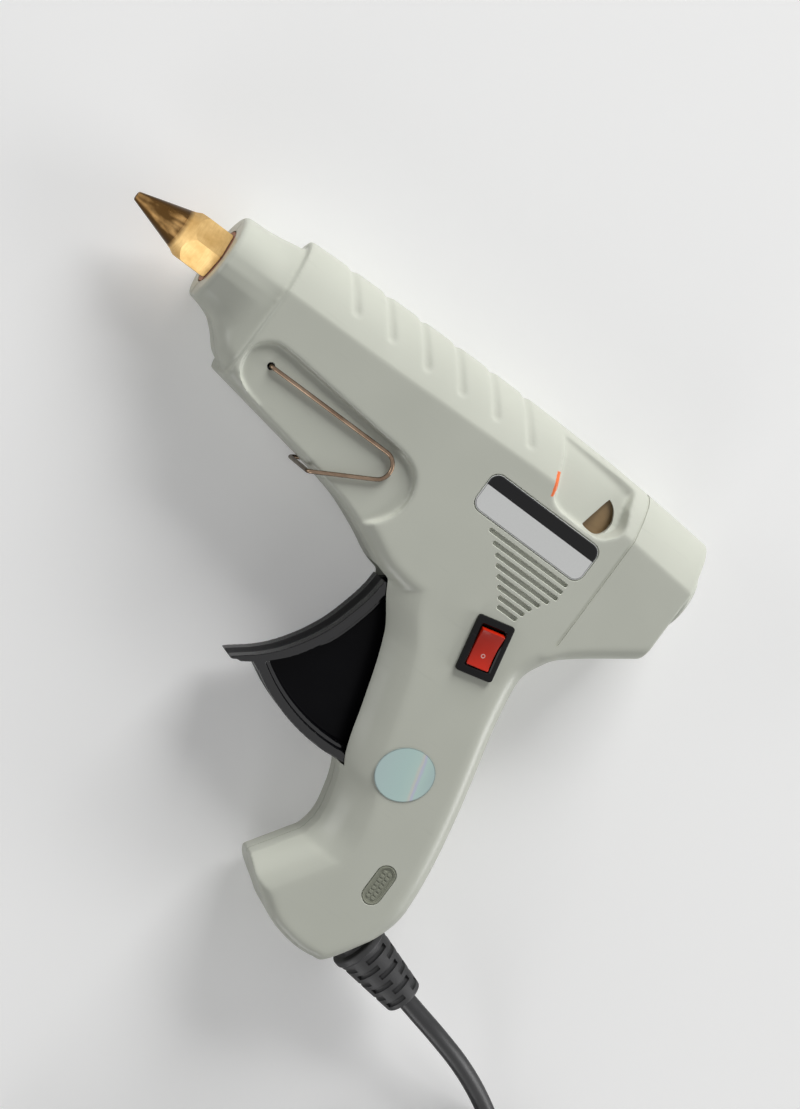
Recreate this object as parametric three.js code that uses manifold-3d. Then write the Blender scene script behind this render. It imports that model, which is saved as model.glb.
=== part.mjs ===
// Hot glue gun lying on its right side, in millimetres.
// X runs back along the barrel, Y up from the stick's axis, Z out of the switch side.
import * as THREE from 'three';
import { mergeVertices } from 'three/addons/utils/BufferGeometryUtils.js';
import Module from 'manifold-3d';

const wasm = await Module();
wasm.setup();

// Main sizes of the gun
const nozzleReach = 27;        // nozzle tip to the front of the neck
const neckLength = 18.3;
const barrelLength = 143.5;    // step behind the neck to the rear face
const halfWidth = 14.5;        // parting plane to either side face
const crownHeight = 20.3;      // stick axis to the crown of the barrel
const gunDrop = 140.3;         // stick axis to the lowest point of the handle
const wall = 2.3;
const gap = 0.3;               // between pieces that touch
const seam = 0.3;              // between the two case halves
const overrun = 2;             // how far a cutter runs past what it cuts
const round = 20;              // sides of the large round pieces
const small = 12;              // sides of the small round pieces
const least = 6;               // sides of bosses, screws and pilot holes

// The glue stick and what it runs through
const stickRadius = 5.6;
const boreRadius = stickRadius + gap;

const stepX = nozzleReach + neckLength;
const rearX = stepX + barrelLength;
const alongBarrel = (share) => stepX + share * barrelLength;
const belowAxis = (share) => -share * gunDrop;

// Solids: closed meshes in, closed meshes out

function outward(geometry) {
  const place = geometry.attributes.position;
  const index = geometry.index.array;
  const corners = [new THREE.Vector3(), new THREE.Vector3(), new THREE.Vector3()];
  let volume = 0;
  for (let i = 0; i < index.length; i += corners.length) {
    corners.forEach((corner, k) => corner.fromBufferAttribute(place, index[i + k]));
    volume += corners[0].dot(corners[1].clone().cross(corners[2]));
  }
  if (volume < 0) index.reverse();
  return geometry;
}

function solid(geometry) {
  const bare = geometry.clone();
  bare.deleteAttribute('normal');
  bare.deleteAttribute('uv');
  const merged = outward(mergeVertices(bare));
  return new wasm.Manifold(new wasm.Mesh({
    numProp: 3,
    vertProperties: new Float32Array(merged.attributes.position.array),
    triVerts: new Uint32Array(merged.index.array),
  }));
}

function geometryOf(body) {
  const mesh = body.getMesh();
  const geometry = new THREE.BufferGeometry();
  geometry.setAttribute('position', new THREE.BufferAttribute(mesh.vertProperties, 3));
  geometry.setIndex(new THREE.BufferAttribute(mesh.triVerts, 1));
  return geometry;
}

const join = (...bodies) => bodies.reduce((sum, body) => sum.add(body));
const cut = (body, ...tools) => tools.reduce((rest, tool) => rest.subtract(tool), body);
const moved = (body, matrix) => solid(geometryOf(body).applyMatrix4(matrix));
const mirrored = (body) => moved(body, new THREE.Matrix4().makeScale(1, 1, -1));
const bothSides = (body) => join(body, mirrored(body));

// A flat outline [x, y] raised from z = low to z = high
function prism(points, low, high) {
  const shape = new THREE.Shape(points.map(([x, y]) => new THREE.Vector2(x, y)));
  const geometry = new THREE.ExtrudeGeometry(shape, { depth: high - low, bevelEnabled: false });
  return solid(geometry.translate(0, 0, low));
}

function block(x0, x1, y0, y1, z0, z1) {
  return prism([[x0, y0], [x1, y0], [x1, y1], [x0, y1]], z0, z1);
}

// A round bar along Z
function bar(x, y, radius, low, high, sides = small) {
  const geometry = new THREE.CylinderGeometry(radius, radius, high - low, sides);
  return solid(geometry.rotateX(Math.PI / 2).translate(x, y, (low + high) / 2));
}

// A turned piece on the stick's axis: the profile's points are [x, radius]
function turned(profile, sides = round) {
  const points = profile.map(([x, radius]) => new THREE.Vector2(radius, x));
  return new THREE.LatheGeometry([...points, points[0].clone()], sides).rotateZ(-Math.PI / 2);
}
const turnedSolid = (profile, sides) => solid(turned(profile, sides));
const ring = (x0, x1, inner, outer, sides) => turnedSolid(
  [[x0, inner], [x1, inner], [x1, outer], [x0, outer]], sides,
);

// Rings of equal point counts, skinned and capped; each ring is convex
function loft(rings) {
  const count = rings[0].length;
  const positions = rings.flat().flatMap((point) => point.toArray());
  const index = [];
  for (let r = 0; r + 1 < rings.length; r += 1) {
    for (let i = 0; i < count; i += 1) {
      const a = r * count + i;
      const b = r * count + (i + 1) % count;
      index.push(a, b, a + count, b, b + count, a + count);
    }
  }
  const last = (rings.length - 1) * count;
  for (let i = 1; i + 1 < count; i += 1) {
    index.push(0, i + 1, i, last, last + i, last + i + 1);
  }
  const geometry = new THREE.BufferGeometry();
  geometry.setAttribute('position', new THREE.Float32BufferAttribute(positions, 3));
  geometry.setIndex(index);
  return geometry;
}

// A round tube swept along a curve
function tube(curve, radius, sides, steps) {
  const section = new THREE.Shape(circle(0, 0, radius, sides).map(([x, y]) => new THREE.Vector2(x, y)));
  return new THREE.ExtrudeGeometry(section, { steps, bevelEnabled: false, extrudePath: curve });
}

const smooth = (points, tension = 0.5) => new THREE.CatmullRomCurve3(
  points.map((point) => new THREE.Vector3(...point)), false, 'catmullrom', tension,
);

function arc(x, y, radius, from, to, steps) {
  return Array.from({ length: steps + 1 }, (_, i) => {
    const angle = from + (to - from) * i / steps;
    return [x + radius * Math.cos(angle), y + radius * Math.sin(angle)];
  });
}
const circle = (x, y, radius, sides = small) => arc(x, y, radius, 0, 2 * Math.PI, sides).slice(0, -1);

// A rounded rectangle centred on x, y
function roundedBox(x, y, length, height, corner, steps = 3) {
  const along = length / 2 - corner;
  const up = height / 2 - corner;
  const quarter = Math.PI / 2;
  return [[along, up], [-along, up], [-along, -up], [along, -up]]
    .flatMap(([dx, dy], i) => arc(x + dx, y + dy, corner, i * quarter, (i + 1) * quarter, steps));
}

// Points moved along their normals; outlines here run counterclockwise
function grown(points, distance) {
  return points.map(([x, y], i) => {
    const [px, py] = points[(i + points.length - 1) % points.length];
    const [nx, ny] = points[(i + 1) % points.length];
    const before = new THREE.Vector2(y - py, px - x).normalize();
    const after = new THREE.Vector2(ny - y, x - nx).normalize();
    const push = before.clone().add(after).normalize();
    const reach = distance / push.dot(after);
    return [x + push.x * reach, y + push.y * reach];
  });
}

const turn = (degrees) => THREE.MathUtils.degToRad(degrees);

// Pieces of the gun, gathered into one group at the end
const gun = new THREE.Group();

function finish(colour, roughness, metalness = 0) {
  return new THREE.MeshStandardMaterial({ color: colour, roughness, metalness });
}

function add(name, body, material) {
  const mesh = new THREE.Mesh(body.isBufferGeometry ? body : geometryOf(body), material);
  mesh.name = name;
  gun.add(mesh);
  return mesh;
}

// Case: outer form and cavity from the same sections

// Barrel stations: share of the barrel's length, share of the crown's height, share of the drop
const barrelShares = [
  [0, 0.916, 0.178],
  [0.102, 0.946, 0.195],
  [0.325, 0.985, 0.236],
  [0.409, 0.995, 0.268],
  [0.479, 1, 0.3],
  [0.555, 1, 0.31],
  [0.73, 0.985, 0.3],
  [0.827, 0.956, 0.278],
  [0.869, 0.941, 0.236],
  [1, 0.877, 0.141],
];
const domeHalf = 11.6;         // half width where the dome meets the facet
const domeFoot = 8;            // height of that edge above the axis
const facetFoot = 5;           // height where the facet meets the side face
const sideShares = [1, -1, -2.4];
const bellyCorner = 5;
const domeSteps = 5;
const bellySteps = 2;

// The cavity follows every second section, with fewer points round it
const coarse = (list, inset) => list.filter((_, i) => inset <= 0 || i % 2 === 0 || i === list.length - 1);

function barrelRing(x, top, bottom, inset) {
  const crownSteps = inset > 0 ? domeSteps - 2 : domeSteps;
  const cornerSteps = inset > 0 ? bellySteps - 1 : bellySteps;
  const quarter = Math.PI / 2;
  const half = halfWidth - inset;
  const dome = domeHalf - inset;
  const low = bottom + inset;
  const near = [];
  for (let i = 0; i <= crownSteps; i += 1) {
    const angle = quarter * i / crownSteps;
    const rise = top - inset - domeFoot;
    near.push([dome * Math.sin(angle), domeFoot + rise * Math.cos(angle)]);
  }
  near.push(...sideShares.map((share) => [half, share * facetFoot]));
  for (let i = 0; i <= cornerSteps; i += 1) {
    const angle = quarter * i / cornerSteps;
    const side = half - bellyCorner + bellyCorner * Math.cos(angle);
    near.push([side, low + bellyCorner - bellyCorner * Math.sin(angle)]);
  }
  const far = near.slice(1).reverse().map(([z, y]) => [-z, y]);
  return [...near, ...far].map(([z, y]) => new THREE.Vector3(x, y, z));
}

function barrel(inset) {
  const rings = coarse(barrelShares, inset).map(([x, top, drop]) => barrelRing(
    THREE.MathUtils.clamp(alongBarrel(x), stepX + inset, rearX - inset),
    top * crownHeight, belowAxis(drop), inset,
  ));
  return solid(loft(rings));
}

// Neck: from a circle round the nozzle to a section just inside the barrel's step
const neckRadius = 13.3;
const stepDepth = 1.3;
// Share of the neck's length, blend above the axis, blend below it
const neckShares = [[0, 0, 0], [0.05, 0.02, 0.01], [0.37, 0.16, 0.17], [0.56, 0.36, 0.42],
  [0.76, 0.65, 0.78], [1, 1, 1]];
const neckRim = 0.8;

function neck(inset, front, back) {
  const [, top, drop] = barrelShares[0];
  const goal = barrelRing(0, top * crownHeight - stepDepth, belowAxis(drop) + inset, inset + stepDepth);
  const rings = coarse(neckShares, inset).map(([share, above, below], i) => {
    const x = front + share * (back - front);
    const radius = neckRadius - inset - (i === 0 ? neckRim : 0);
    return goal.map((point) => {
      const length = Math.hypot(point.y, point.z);
      const blend = point.y > 0 ? above : below;
      const k = (radius / length) * (1 - blend) + blend;
      return new THREE.Vector3(x, point.y * k, point.z * k);
    });
  });
  return solid(loft(rings));
}

// Handle stations: share of the drop, then front and back as shares of the barrel's length
const handleShares = [
  [0.24, 0.465, 0.869],
  [0.314, 0.493, 0.837],
  [0.392, 0.545, 0.848],
  [0.535, 0.596, 0.884],
  [0.599, 0.615, 0.9],
  [0.641, 0.632, 0.909],
  [0.67, 0.653, 0.915],
  [0.713, 0.669, 0.923],
  [0.771, 0.68, 0.931],
  [0.808, 0.674, 0.934],
  [0.827, 0.662, 0.935],
  [0.907, 0.608, 0.918],
  [1.02, 0.53, 0.88],
];
const noseHalf = 5.5;          // half width of the flat front edge
const flankReach = 10;         // front edge to where the flank meets the side face
const backReach = 7;           // the same behind

// Shares of the flank's reach and of the width outside the nose
const noseShares = [[0, 0], [0.18, 0.34], [0.55, 0.73], [1, 0.96], [1.3, 1]];
const backShares = [[1, 1], [0.66, 0.96], [0.34, 0.84], [0.1, 0.62], [0, 0.28]];

function handleRing(y, front, back, inset) {
  const half = halfWidth - inset;
  const nose = noseHalf - inset / 2;
  const head = front + inset;
  const heel = back - inset;
  const near = [
    [head, 0],
    ...coarse(noseShares,
      inset).map(([reach, width]) => [head + reach * flankReach, nose + width * (half - nose)]),
    ...coarse(backShares, inset).map(([reach, width]) => [heel - reach * backReach, width * half]),
    [heel, 0],
  ];
  const far = near.slice(1, -1).reverse().map(([x, z]) => [x, -z]);
  return [...near, ...far].map(([x, z]) => new THREE.Vector3(x, y, z));
}

// Underside of the handle: toe, sole, heel, seen from the side; share of length, share of drop
const soleShares = [[0.53, 0.78], [0.608, 0.907], [0.681, 0.966], [0.716, 0.987], [0.771, 1], [0.82, 0.999],
  [0.851, 0.984], [0.921, 0.874], [1.02, 0.72]];
const soleEdge = 3;            // how far the lower edges are rounded

function belowCut(inset) {
  const sole = soleShares.map(([x, drop]) => [alongBarrel(x), belowAxis(drop)]);
  const outline = grown([...sole, [rearX + gunDrop, gunDrop], [-gunDrop, gunDrop]], -inset);
  const shape = new THREE.Shape(outline.map(([x, y]) => new THREE.Vector2(x, y)));
  const half = halfWidth - inset;
  const geometry = new THREE.ExtrudeGeometry(shape, {
    depth: 2 * (half - soleEdge), bevelThickness: soleEdge, bevelSize: soleEdge, bevelOffset: -soleEdge,
    bevelSegments: inset > 0 ? 1 : 2,
  });
  return solid(geometry.translate(0, 0, soleEdge - half));
}

function handle(inset) {
  const rings = coarse(handleShares, inset).map(([drop, front, back], i) => handleRing(
    belowAxis(drop) + (i === 0 ? inset : 0), alongBarrel(front), alongBarrel(back), inset,
  ));
  return solid(loft(rings)).intersect(belowCut(inset));
}

const rimWall = 3;             // wall in front of the neck's cavity
const form = (inset) => join(
  barrel(inset), handle(inset),
  neck(inset, nozzleReach + (inset ? rimWall : 0), stepX + (inset ? wall + overrun : overrun)),
);
const outer = form(0);
const cavity = form(wall);

// Heating chamber, nozzle and sleeve on the stick's axis
const nozzle = { tipRadius: 1.35, tipBore: 0.8, coneLength: 15.5, coneRadius: 6, flats: 14, hexLength: 11.2,
  chamfer: 4, shankRadius: 4.8, shankLength: 9, bore: 2.2 };
const hexCorner = nozzle.flats / Math.sqrt(3);
const hexEnd = nozzle.coneLength + nozzle.hexLength;
const chamber = { front: 30, radius: 8.9, length: 50, spigotRadius: 7.3, spigotLength: 8, throat: 2.4,
  throatLength: 4, socketDepth: 8 };
const chamberRear = chamber.front + chamber.length;
const spigotRear = chamberRear + chamber.spigotLength;
const heater = { length: 28, width: 8, thick: 3.4, slotWall: 1.7, lead: 6 };
const heaterX = chamber.front + (chamber.length - heater.length) / 2 + chamber.throatLength;
const saddleDepth = chamber.radius + heater.slotWall + heater.thick + 2 * gap;
const saddleHalf = heater.width / 2 + heater.slotWall;
const sleeve = { wallThick: 1.6, length: 20, lip: 15.6 };
const sleeveFront = chamberRear + 2 * gap;
const sleeveRear = sleeveFront + sleeve.length;
const sleeveRadius = chamber.spigotRadius + gap + sleeve.wallThick;
const clampRing = { wire: 1.3, x: 3 };

// Stick guide and rear ring
const guide = { wallThick: 2 };
const guideRadius = boreRadius + guide.wallThick;
const entry = { inner: 6.4, outer: 10.2, proud: 3, flange: 1.5, flangeRim: 1.2 };
const entryFront = rearX - wall - gap - entry.flange;
const guideRear = entryFront - gap;

// Trigger: pivots high in the handle, its lower flange is an arc about the pivot
const pivotShares = { along: 0.597, drop: 0.271 };
const trigger = { half: 7.5, web: 2, flange: 2.6, reach: 53.8, hub: 5, hubHalf: 3.5, pin: 1.8,
  slotHalf: 8, slotGap: 0.5, prong: 2.2 };
const pivot = [alongBarrel(pivotShares.along), belowAxis(pivotShares.drop)];

// Feed: carriage round the stick, pushed forward by the trigger's fork
const carriage = { ring: 3, length: 14, ear: 2, earGap: 2.6, pin: 1.6, drop: 12.6 };
const carriageRadius = boreRadius + gap + carriage.ring;
const carriageX = pivot[0] - carriage.length / 2;
const guideFront = carriageX + carriage.length + 2 * gap;
const feedPin = [pivot[0], -carriage.drop];
const feedPinEnd = carriage.earGap + carriage.ear + carriage.pin;
const springShare = 0.1812;
const spring = { radius: 2.2, wire: 0.8, coils: 8, span: springShare * barrelLength, steps: 6, sides: 4,
  post: 1.2 };
const springZ = -feedPinEnd - spring.radius / 2;
const springFront = feedPin[0] + carriage.pin + gap + spring.wire / 2;
const springRear = springFront + spring.span + spring.wire / 2;

// Stand: wire legs in recesses on both sides, a crossbar under the belly
const standShares = { leg: 0.2753, bend: 0.0286 };
const stand = { wire: 1.6, legLength: standShares.leg * barrelLength, bend: standShares.bend * barrelLength,
  returnAngle: 208.7, endDepth: 5, pocket: 2 };
const standPivotShares = { along: 0.061, drop: 0.108 };
const standPivot = [alongBarrel(standPivotShares.along), belowAxis(standPivotShares.drop)];
const legZ = halfWidth - stand.pocket + gap + stand.wire / 2;
const crossbarY = belowAxis(0.2274);

// Recess of the stand, counterclockwise from the front of the belly; shares of barrel length and drop
const recessShares = [[0.13, 0.27], [0.115, 0.19], [0.055, 0.174], [0.022, 0.155], [0.008, 0.122],
  [0.014, 0.09],
  [0.04, 0.068], [0.09, 0.066], [0.367, 0.091], [0.404, 0.11], [0.421, 0.142], [0.416, 0.18], [0.385, 0.215],
  [0.37, 0.27]].reverse();
const recessOutline = recessShares.map(([x, drop]) => [alongBarrel(x), belowAxis(drop)]);

// Switch on the near side, turned to follow the handle
const switchShares = { along: 0.722, drop: 0.3015 };
const switchBox = { x: alongBarrel(switchShares.along), y: belowAxis(switchShares.drop), lean: 12.8,
  length: 16.8, width: 11.3, flange: 1.5, corner: 1,
  bodyLength: 13.6, bodyWidth: 8.4, depth: 10 };

// Screws through the right half into bosses on the left; share of length, share of crown or drop
const screw = { head: 2.6, headThick: 1.6, shank: 1.1, boss: 3.3, floor: 6, length: 13 };
const crownScrewShares = [[0.033, 0.65], [0.385, 0.72], [0.925, 0.62]];
const dropScrewShares = [[0.144, 0.16], [0.845, 0.157], [0.813, 0.47], [0.695, 0.912]];
const screwPlaces = [
  ...crownScrewShares.map(([x, up]) => [alongBarrel(x), up * crownHeight]),
  ...dropScrewShares.map(([x, drop]) => [alongBarrel(x), belowAxis(drop)]),
];

// Label, vents, stickers on the near side
const labelShares = { along: 0.6627, drop: 0.0513 };
const label = { x: alongBarrel(labelShares.along), y: belowAxis(labelShares.drop), length: 38.4,
  height: 11.6, corner: 3, thick: 0.4, recess: 0.5 };
const vents = { first: belowAxis(0.1083), pitch: 2.26, height: 1.2, depth: 0.9 };
// Front and rear end of each vent, as shares of the barrel's length
const ventShares = [[0.588, 0.783], [0.609, 0.783], [0.627, 0.783], [0.641, 0.773], [0.655, 0.762],
  [0.669, 0.753],
  [0.683, 0.747], [0.693, 0.741]];
const stickerShares = { along: 0.7408, drop: 0.5916 };
const sticker = { x: alongBarrel(stickerShares.along), y: belowAxis(stickerShares.drop), length: 16.4,
  height: 15.2, thick: 0.15 };
const ovalShares = { along: 0.8383, drop: 0.8054 };
const oval = { x: alongBarrel(ovalShares.along), y: belowAxis(ovalShares.drop), length: 12.4, width: 6,
  depth: 0.9, thick: 0.8 };

// Scoops with windows on both sides of the barrel
const scoop = { depth: 5.2 };
// Outline of the scoop seen from the side; share of barrel length, share of crown height
const scoopShares = [[0.66, 0.09], [0.69, 0.02], [0.76, 0.015], [0.79, 0.09], [0.812, 0.3], [0.81, 0.6],
  [0.8, 1.1],
  [0.6, 1.1], [0.625, 0.64], [0.65, 0.25]];
const windowShares = [[0.731, 0.08], [0.772, 0.08], [0.782, 0.2], [0.783, 0.34], [0.772, 0.5], [0.758, 0.57],
  [0.745, 0.52]];
const topGroove = { first: alongBarrel(0.1024), pitch: 12.2, width: 2.4, lean: 32, depth: 1.1, foot: 9,
  count: 6 };
const bandGroove = { x: alongBarrel(0.8341), width: 0.8, depth: 0.5 };

// Strain relief at the heel
const boot = { radius: 8.4, tipRadius: 5.8, length: 22.3, flange: 2, flangeRim: 2.4, neck: 8.6, bore: 3,
  ribs: 4,
  ribCut: 1.1, aim: -14, seat: 3, sides: 14 };
const heelShares = { along: 0.9066, drop: 0.9387 };
const heelPoint = [alongBarrel(heelShares.along), belowAxis(heelShares.drop)];
const cord = { diameter: 5.5, innerLength: 22, sides: 8, leadSteps: 8, tailSteps: 3 };
const strap = { half: 2.5, reach: 6.3, thick: 1.6, shank: 0.9, head: 1.9, headThick: 1.2, screw: 9,
  pillar: 2.5 };

// Case halves

const axisHole = (x0, x1, radius) => turnedSolid([[x0, 0], [x1, 0], [x1, radius], [x0, radius]]);

// Plates across the cavity that carry the pieces on the axis: front, thickness, hole, lowest point
function plate(x, thick, hole, low, high = crownHeight) {
  const slab = block(x, x + thick, low, high, -halfWidth, halfWidth);
  return cut(slab, axisHole(x - overrun, x + thick + overrun, hole));
}
const plateThick = 2;
const plateFoot = -halfWidth;
const plates = join(
  plate(chamber.front + gap, plateThick, chamber.radius + gap, -neckRadius),
  plate(chamberRear - plateThick - gap, plateThick, chamber.radius + gap, -chamber.radius),
  plate(sleeveFront + sleeve.length / 2, plateThick, sleeveRadius + gap, plateFoot),
  plate(guideFront + 3 * plateThick, plateThick, guideRadius + gap, -guideRadius),
  plate(guideRear - 8 * plateThick, plateThick, guideRadius + gap, plateFoot),
);

const bosses = join(...screwPlaces.map(([x, y]) => bar(x, y, screw.boss, -halfWidth, halfWidth, least)));
const pinBoss = screw.boss + 1;
const pinBosses = cut(
  bar(...pivot, pinBoss, -halfWidth, halfWidth),
  bar(...pivot, pinBoss + overrun, -trigger.hubHalf - gap, trigger.hubHalf + gap),
);
const pinHoles = bar(...pivot, trigger.pin + gap, wall - halfWidth, halfWidth - wall);

// Path of the trigger into the handle
const sweepTop = belowAxis(0.3008);
const sweepFrom = turn(224);
const sweepTo = turn(304);
const sweepRadius = trigger.reach + trigger.slotGap;
const triggerSlot = prism([
  [pivot[0] + trigger.hub, sweepTop + overrun], [alongBarrel(0.485), sweepTop + overrun],
  [alongBarrel(0.42), sweepTop - wall],
  ...arc(pivot[0], pivot[1], sweepRadius, sweepFrom, sweepTo, 16),
], -trigger.slotHalf, trigger.slotHalf);

const windowOutline = windowShares.map(([x, up]) => [alongBarrel(x), up * crownHeight]);
const scoopOutline = scoopShares.map(([x, up]) => [alongBarrel(x), up * crownHeight]);
const scoopFloor = halfWidth - scoop.depth;

// The scoop's floor ramps inwards towards its rear end
function ramp() {
  const front = alongBarrel(0.6);
  const rear = alongBarrel(0.85);
  const low = 0;
  const high = crownHeight + overrun;
  const deep = (y) => [new THREE.Vector3(front, y, halfWidth), new THREE.Vector3(rear, y, scoopFloor),
    new THREE.Vector3(rear, y, halfWidth + scoop.depth), new THREE.Vector3(front, y, halfWidth + scoop.depth)];
  return solid(loft([deep(low), deep(high)]));
}
const scoopCut = prism(scoopOutline, 0, halfWidth + scoop.depth).intersect(ramp());
const scoopBack = prism(scoopOutline, scoopFloor - wall, halfWidth);
const windowCut = prism(windowOutline, guideRadius, halfWidth + overrun);

// Grooves across the crown, and one band round the barrel
function topGrooves() {
  const rise = crownHeight - topGroove.foot + overrun;
  const shift = rise * Math.tan(turn(topGroove.lean));
  const slabs = Array.from({ length: topGroove.count }, (_, i) => {
    const x = topGroove.first + i * topGroove.pitch;
    return prism([[x, topGroove.foot], [x + topGroove.width, topGroove.foot],
      [x + topGroove.width - shift, topGroove.foot + rise], [x - shift, topGroove.foot + rise]], 0, halfWidth);
  });
  return bothSides(join(...slabs)).subtract(barrel(topGroove.depth));
}
const bandCut = block(bandGroove.x, bandGroove.x + bandGroove.width, belowAxis(0.215), crownHeight + overrun,
  -halfWidth - overrun, halfWidth + overrun).subtract(barrel(bandGroove.depth));

const recess = prism(recessOutline, halfWidth - stand.pocket, halfWidth + overrun);
const recessBack = prism(grown(recessOutline, wall), halfWidth - stand.pocket - wall, halfWidth);
const legHole = bar(...standPivot, stand.wire / 2 + gap, halfWidth - stand.pocket - stand.endDepth, halfWidth);

const ventCuts = join(...ventShares.map(([front, rear], i) => {
  const x0 = alongBarrel(front);
  const x1 = alongBarrel(rear);
  const y = vents.first - i * vents.pitch;
  return prism(roundedBox((x0 + x1) / 2, y, x1 - x0, vents.height, vents.height / 3, 1),
    halfWidth - vents.depth,
    halfWidth + overrun);
}));
const labelCut = prism(roundedBox(label.x, label.y, label.length + 2 * gap, label.height + 2 * gap,
  label.corner + gap),
  halfWidth - label.recess, halfWidth + overrun);
const ovalCut = prism(roundedBox(oval.x, oval.y, oval.width, oval.length, oval.width / 2),
  halfWidth - oval.depth, halfWidth + overrun);

// A turn in the plane of the case, then a move to x, y
function inPlane(body, degrees, x, y, z = 0) {
  const matrix = new THREE.Matrix4().makeTranslation(x, y, z);
  return moved(body, matrix.multiply(new THREE.Matrix4().makeRotationZ(turn(degrees))));
}
const onSwitch = (body) => inPlane(body, switchBox.lean, switchBox.x, switchBox.y);
const switchHole = onSwitch(block(-switchBox.bodyWidth / 2 - gap, switchBox.bodyWidth / 2 + gap,
  -switchBox.bodyLength / 2 - gap, switchBox.bodyLength / 2 + gap, halfWidth - 2 * wall, halfWidth + overrun));

// The boot and the cord pass the heel along the boot's aim
const onHeel = (body) => inPlane(body, boot.aim, ...heelPoint);
const bootHole = onHeel(axisHole(-boot.neck - overrun, boot.length, boot.radius - boot.flangeRim + gap));
const bootRoom = onHeel(axisHole(-boot.neck - boot.flange - gap, -boot.neck + gap, boot.radius + gap));
const bootSeat = onHeel(axisHole(-boot.neck + gap, 0, boot.radius + boot.seat));

const frontHole = axisHole(0, chamber.front + overrun, hexCorner + gap);
const rearHole = join(axisHole(entryFront - gap, rearX + overrun, entry.outer + gap),
  axisHole(entryFront - gap, rearX - wall, entry.outer + entry.flangeRim + gap));
const boreThrough = axisHole(chamber.front, rearX, boreRadius);
const guideHole = axisHole(guideFront - gap, guideRear + gap, guideRadius + gap);

const wellWalls = join(...screwPlaces.map(
  ([x, y]) => bar(x, y, screw.head + gap + wall / 2, -halfWidth, -screw.floor + wall, least),
));
const room = cut(cavity, plates, bosses, pinBosses, wellWalls, bothSides(recessBack), bothSides(scoopBack),
  bootSeat);
const hollow = cut(outer, room);
const opened = cut(hollow, triggerSlot, bothSides(recess), bothSides(legHole), bothSides(scoopCut),
  bothSides(windowCut),
  topGrooves(), bandCut, pinHoles, bootHole, bootRoom, frontHole, rearHole, boreThrough, guideHole);

const far = gunDrop * 2;
const halfSpace = block(-far, far, -far, far, seam / 2, halfWidth + overrun);
const pilots = join(...screwPlaces.map(
  ([x, y]) => bar(x, y, screw.shank + gap, -halfWidth, screw.length - screw.floor + gap, least),
));
const wells = join(...screwPlaces.map(([x, y]) => bar(x, y, screw.head + gap, -halfWidth - overrun,
  -screw.floor, least)));

// Pillars for the cord's clamp and a post for the return spring, both on the right half
const insideFace = -halfWidth + wall - gap;
const pillars = onHeel(join(...[-1, 1].map((side) => cut(
  bar(strap.half + overrun - cord.innerLength, side * strap.reach, strap.pillar, insideFace,
    cord.diameter / 2, least),
  bar(strap.half + overrun - cord.innerLength, side * strap.reach, strap.shank + gap,
    cord.diameter / 2 - strap.screw,
    cord.diameter, least),
))));
const springPost = bar(springRear + gap + spring.post, feedPin[1], spring.post, insideFace,
  springZ + spring.radius, least);

const shellGrey = finish('#c3c6bb', 0.38);
add('left_shell', cut(opened.intersect(halfSpace), pilots, ventCuts, labelCut, ovalCut, switchHole), shellGrey);
add('right_shell', join(cut(opened.intersect(mirrored(halfSpace)), pilots, wells), pillars, springPost),
  shellGrey);

// Case screws, heads in the right half's wells
const screwSteel = finish('#8f9296', 0.35, 0.9);
screwPlaces.forEach(([x, y], i) => {
  const headTop = -screw.floor - gap;
  const head = bar(x, y, screw.head, headTop - screw.headThick, headTop, least);
  const shank = bar(x, y, screw.shank, headTop - screw.headThick / 2, screw.length - screw.floor - gap, least);
  add(`case_screw_${i + 1}`, join(head, shank), screwSteel);
});

// Nozzle: cone and shank turned, hexagon between them
function brassNozzle() {
  const hexagon = solid(new THREE.CylinderGeometry(hexCorner, hexCorner, nozzle.hexLength, 6)
    .rotateX(Math.PI / 2).rotateY(Math.PI / 2).rotateX(Math.PI / 2)
    .translate(nozzle.coneLength + nozzle.hexLength / 2, 0, 0));
  const envelope = turnedSolid([[0, 0], [0, nozzle.tipRadius], [nozzle.coneLength, nozzle.coneRadius],
    [nozzle.coneLength + nozzle.chamfer, hexCorner + gap], [hexEnd, hexCorner + gap], [hexEnd, 0]]);
  const cone = turnedSolid([[0, 0], [0, nozzle.tipRadius], [nozzle.coneLength, nozzle.coneRadius],
    [nozzle.coneLength + overrun, nozzle.coneRadius], [nozzle.coneLength + overrun, 0]]);
  const shank = turnedSolid([[hexEnd - overrun, 0], [hexEnd - overrun, nozzle.shankRadius],
    [hexEnd + nozzle.shankLength, nozzle.shankRadius], [hexEnd + nozzle.shankLength, 0]]);
  const channel = turnedSolid([[-overrun, 0], [-overrun, nozzle.tipBore],
    [nozzle.coneLength / 2, nozzle.tipBore],
    [nozzle.coneLength, nozzle.bore], [hexEnd + nozzle.shankLength + overrun, nozzle.bore],
    [hexEnd + nozzle.shankLength + overrun, 0]], small);
  return cut(join(hexagon.intersect(envelope), cone, shank), channel);
}
add('brass_nozzle', brassNozzle(), finish('#c79a4a', 0.28, 1));

// Gasket between the hexagon and the chamber's front
const gasketFront = hexEnd + gap;
add('front_gasket', ring(gasketFront, chamber.front - gap, nozzle.shankRadius + gap, hexCorner, round),
  finish('#b98a7a', 0.7));

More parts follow.
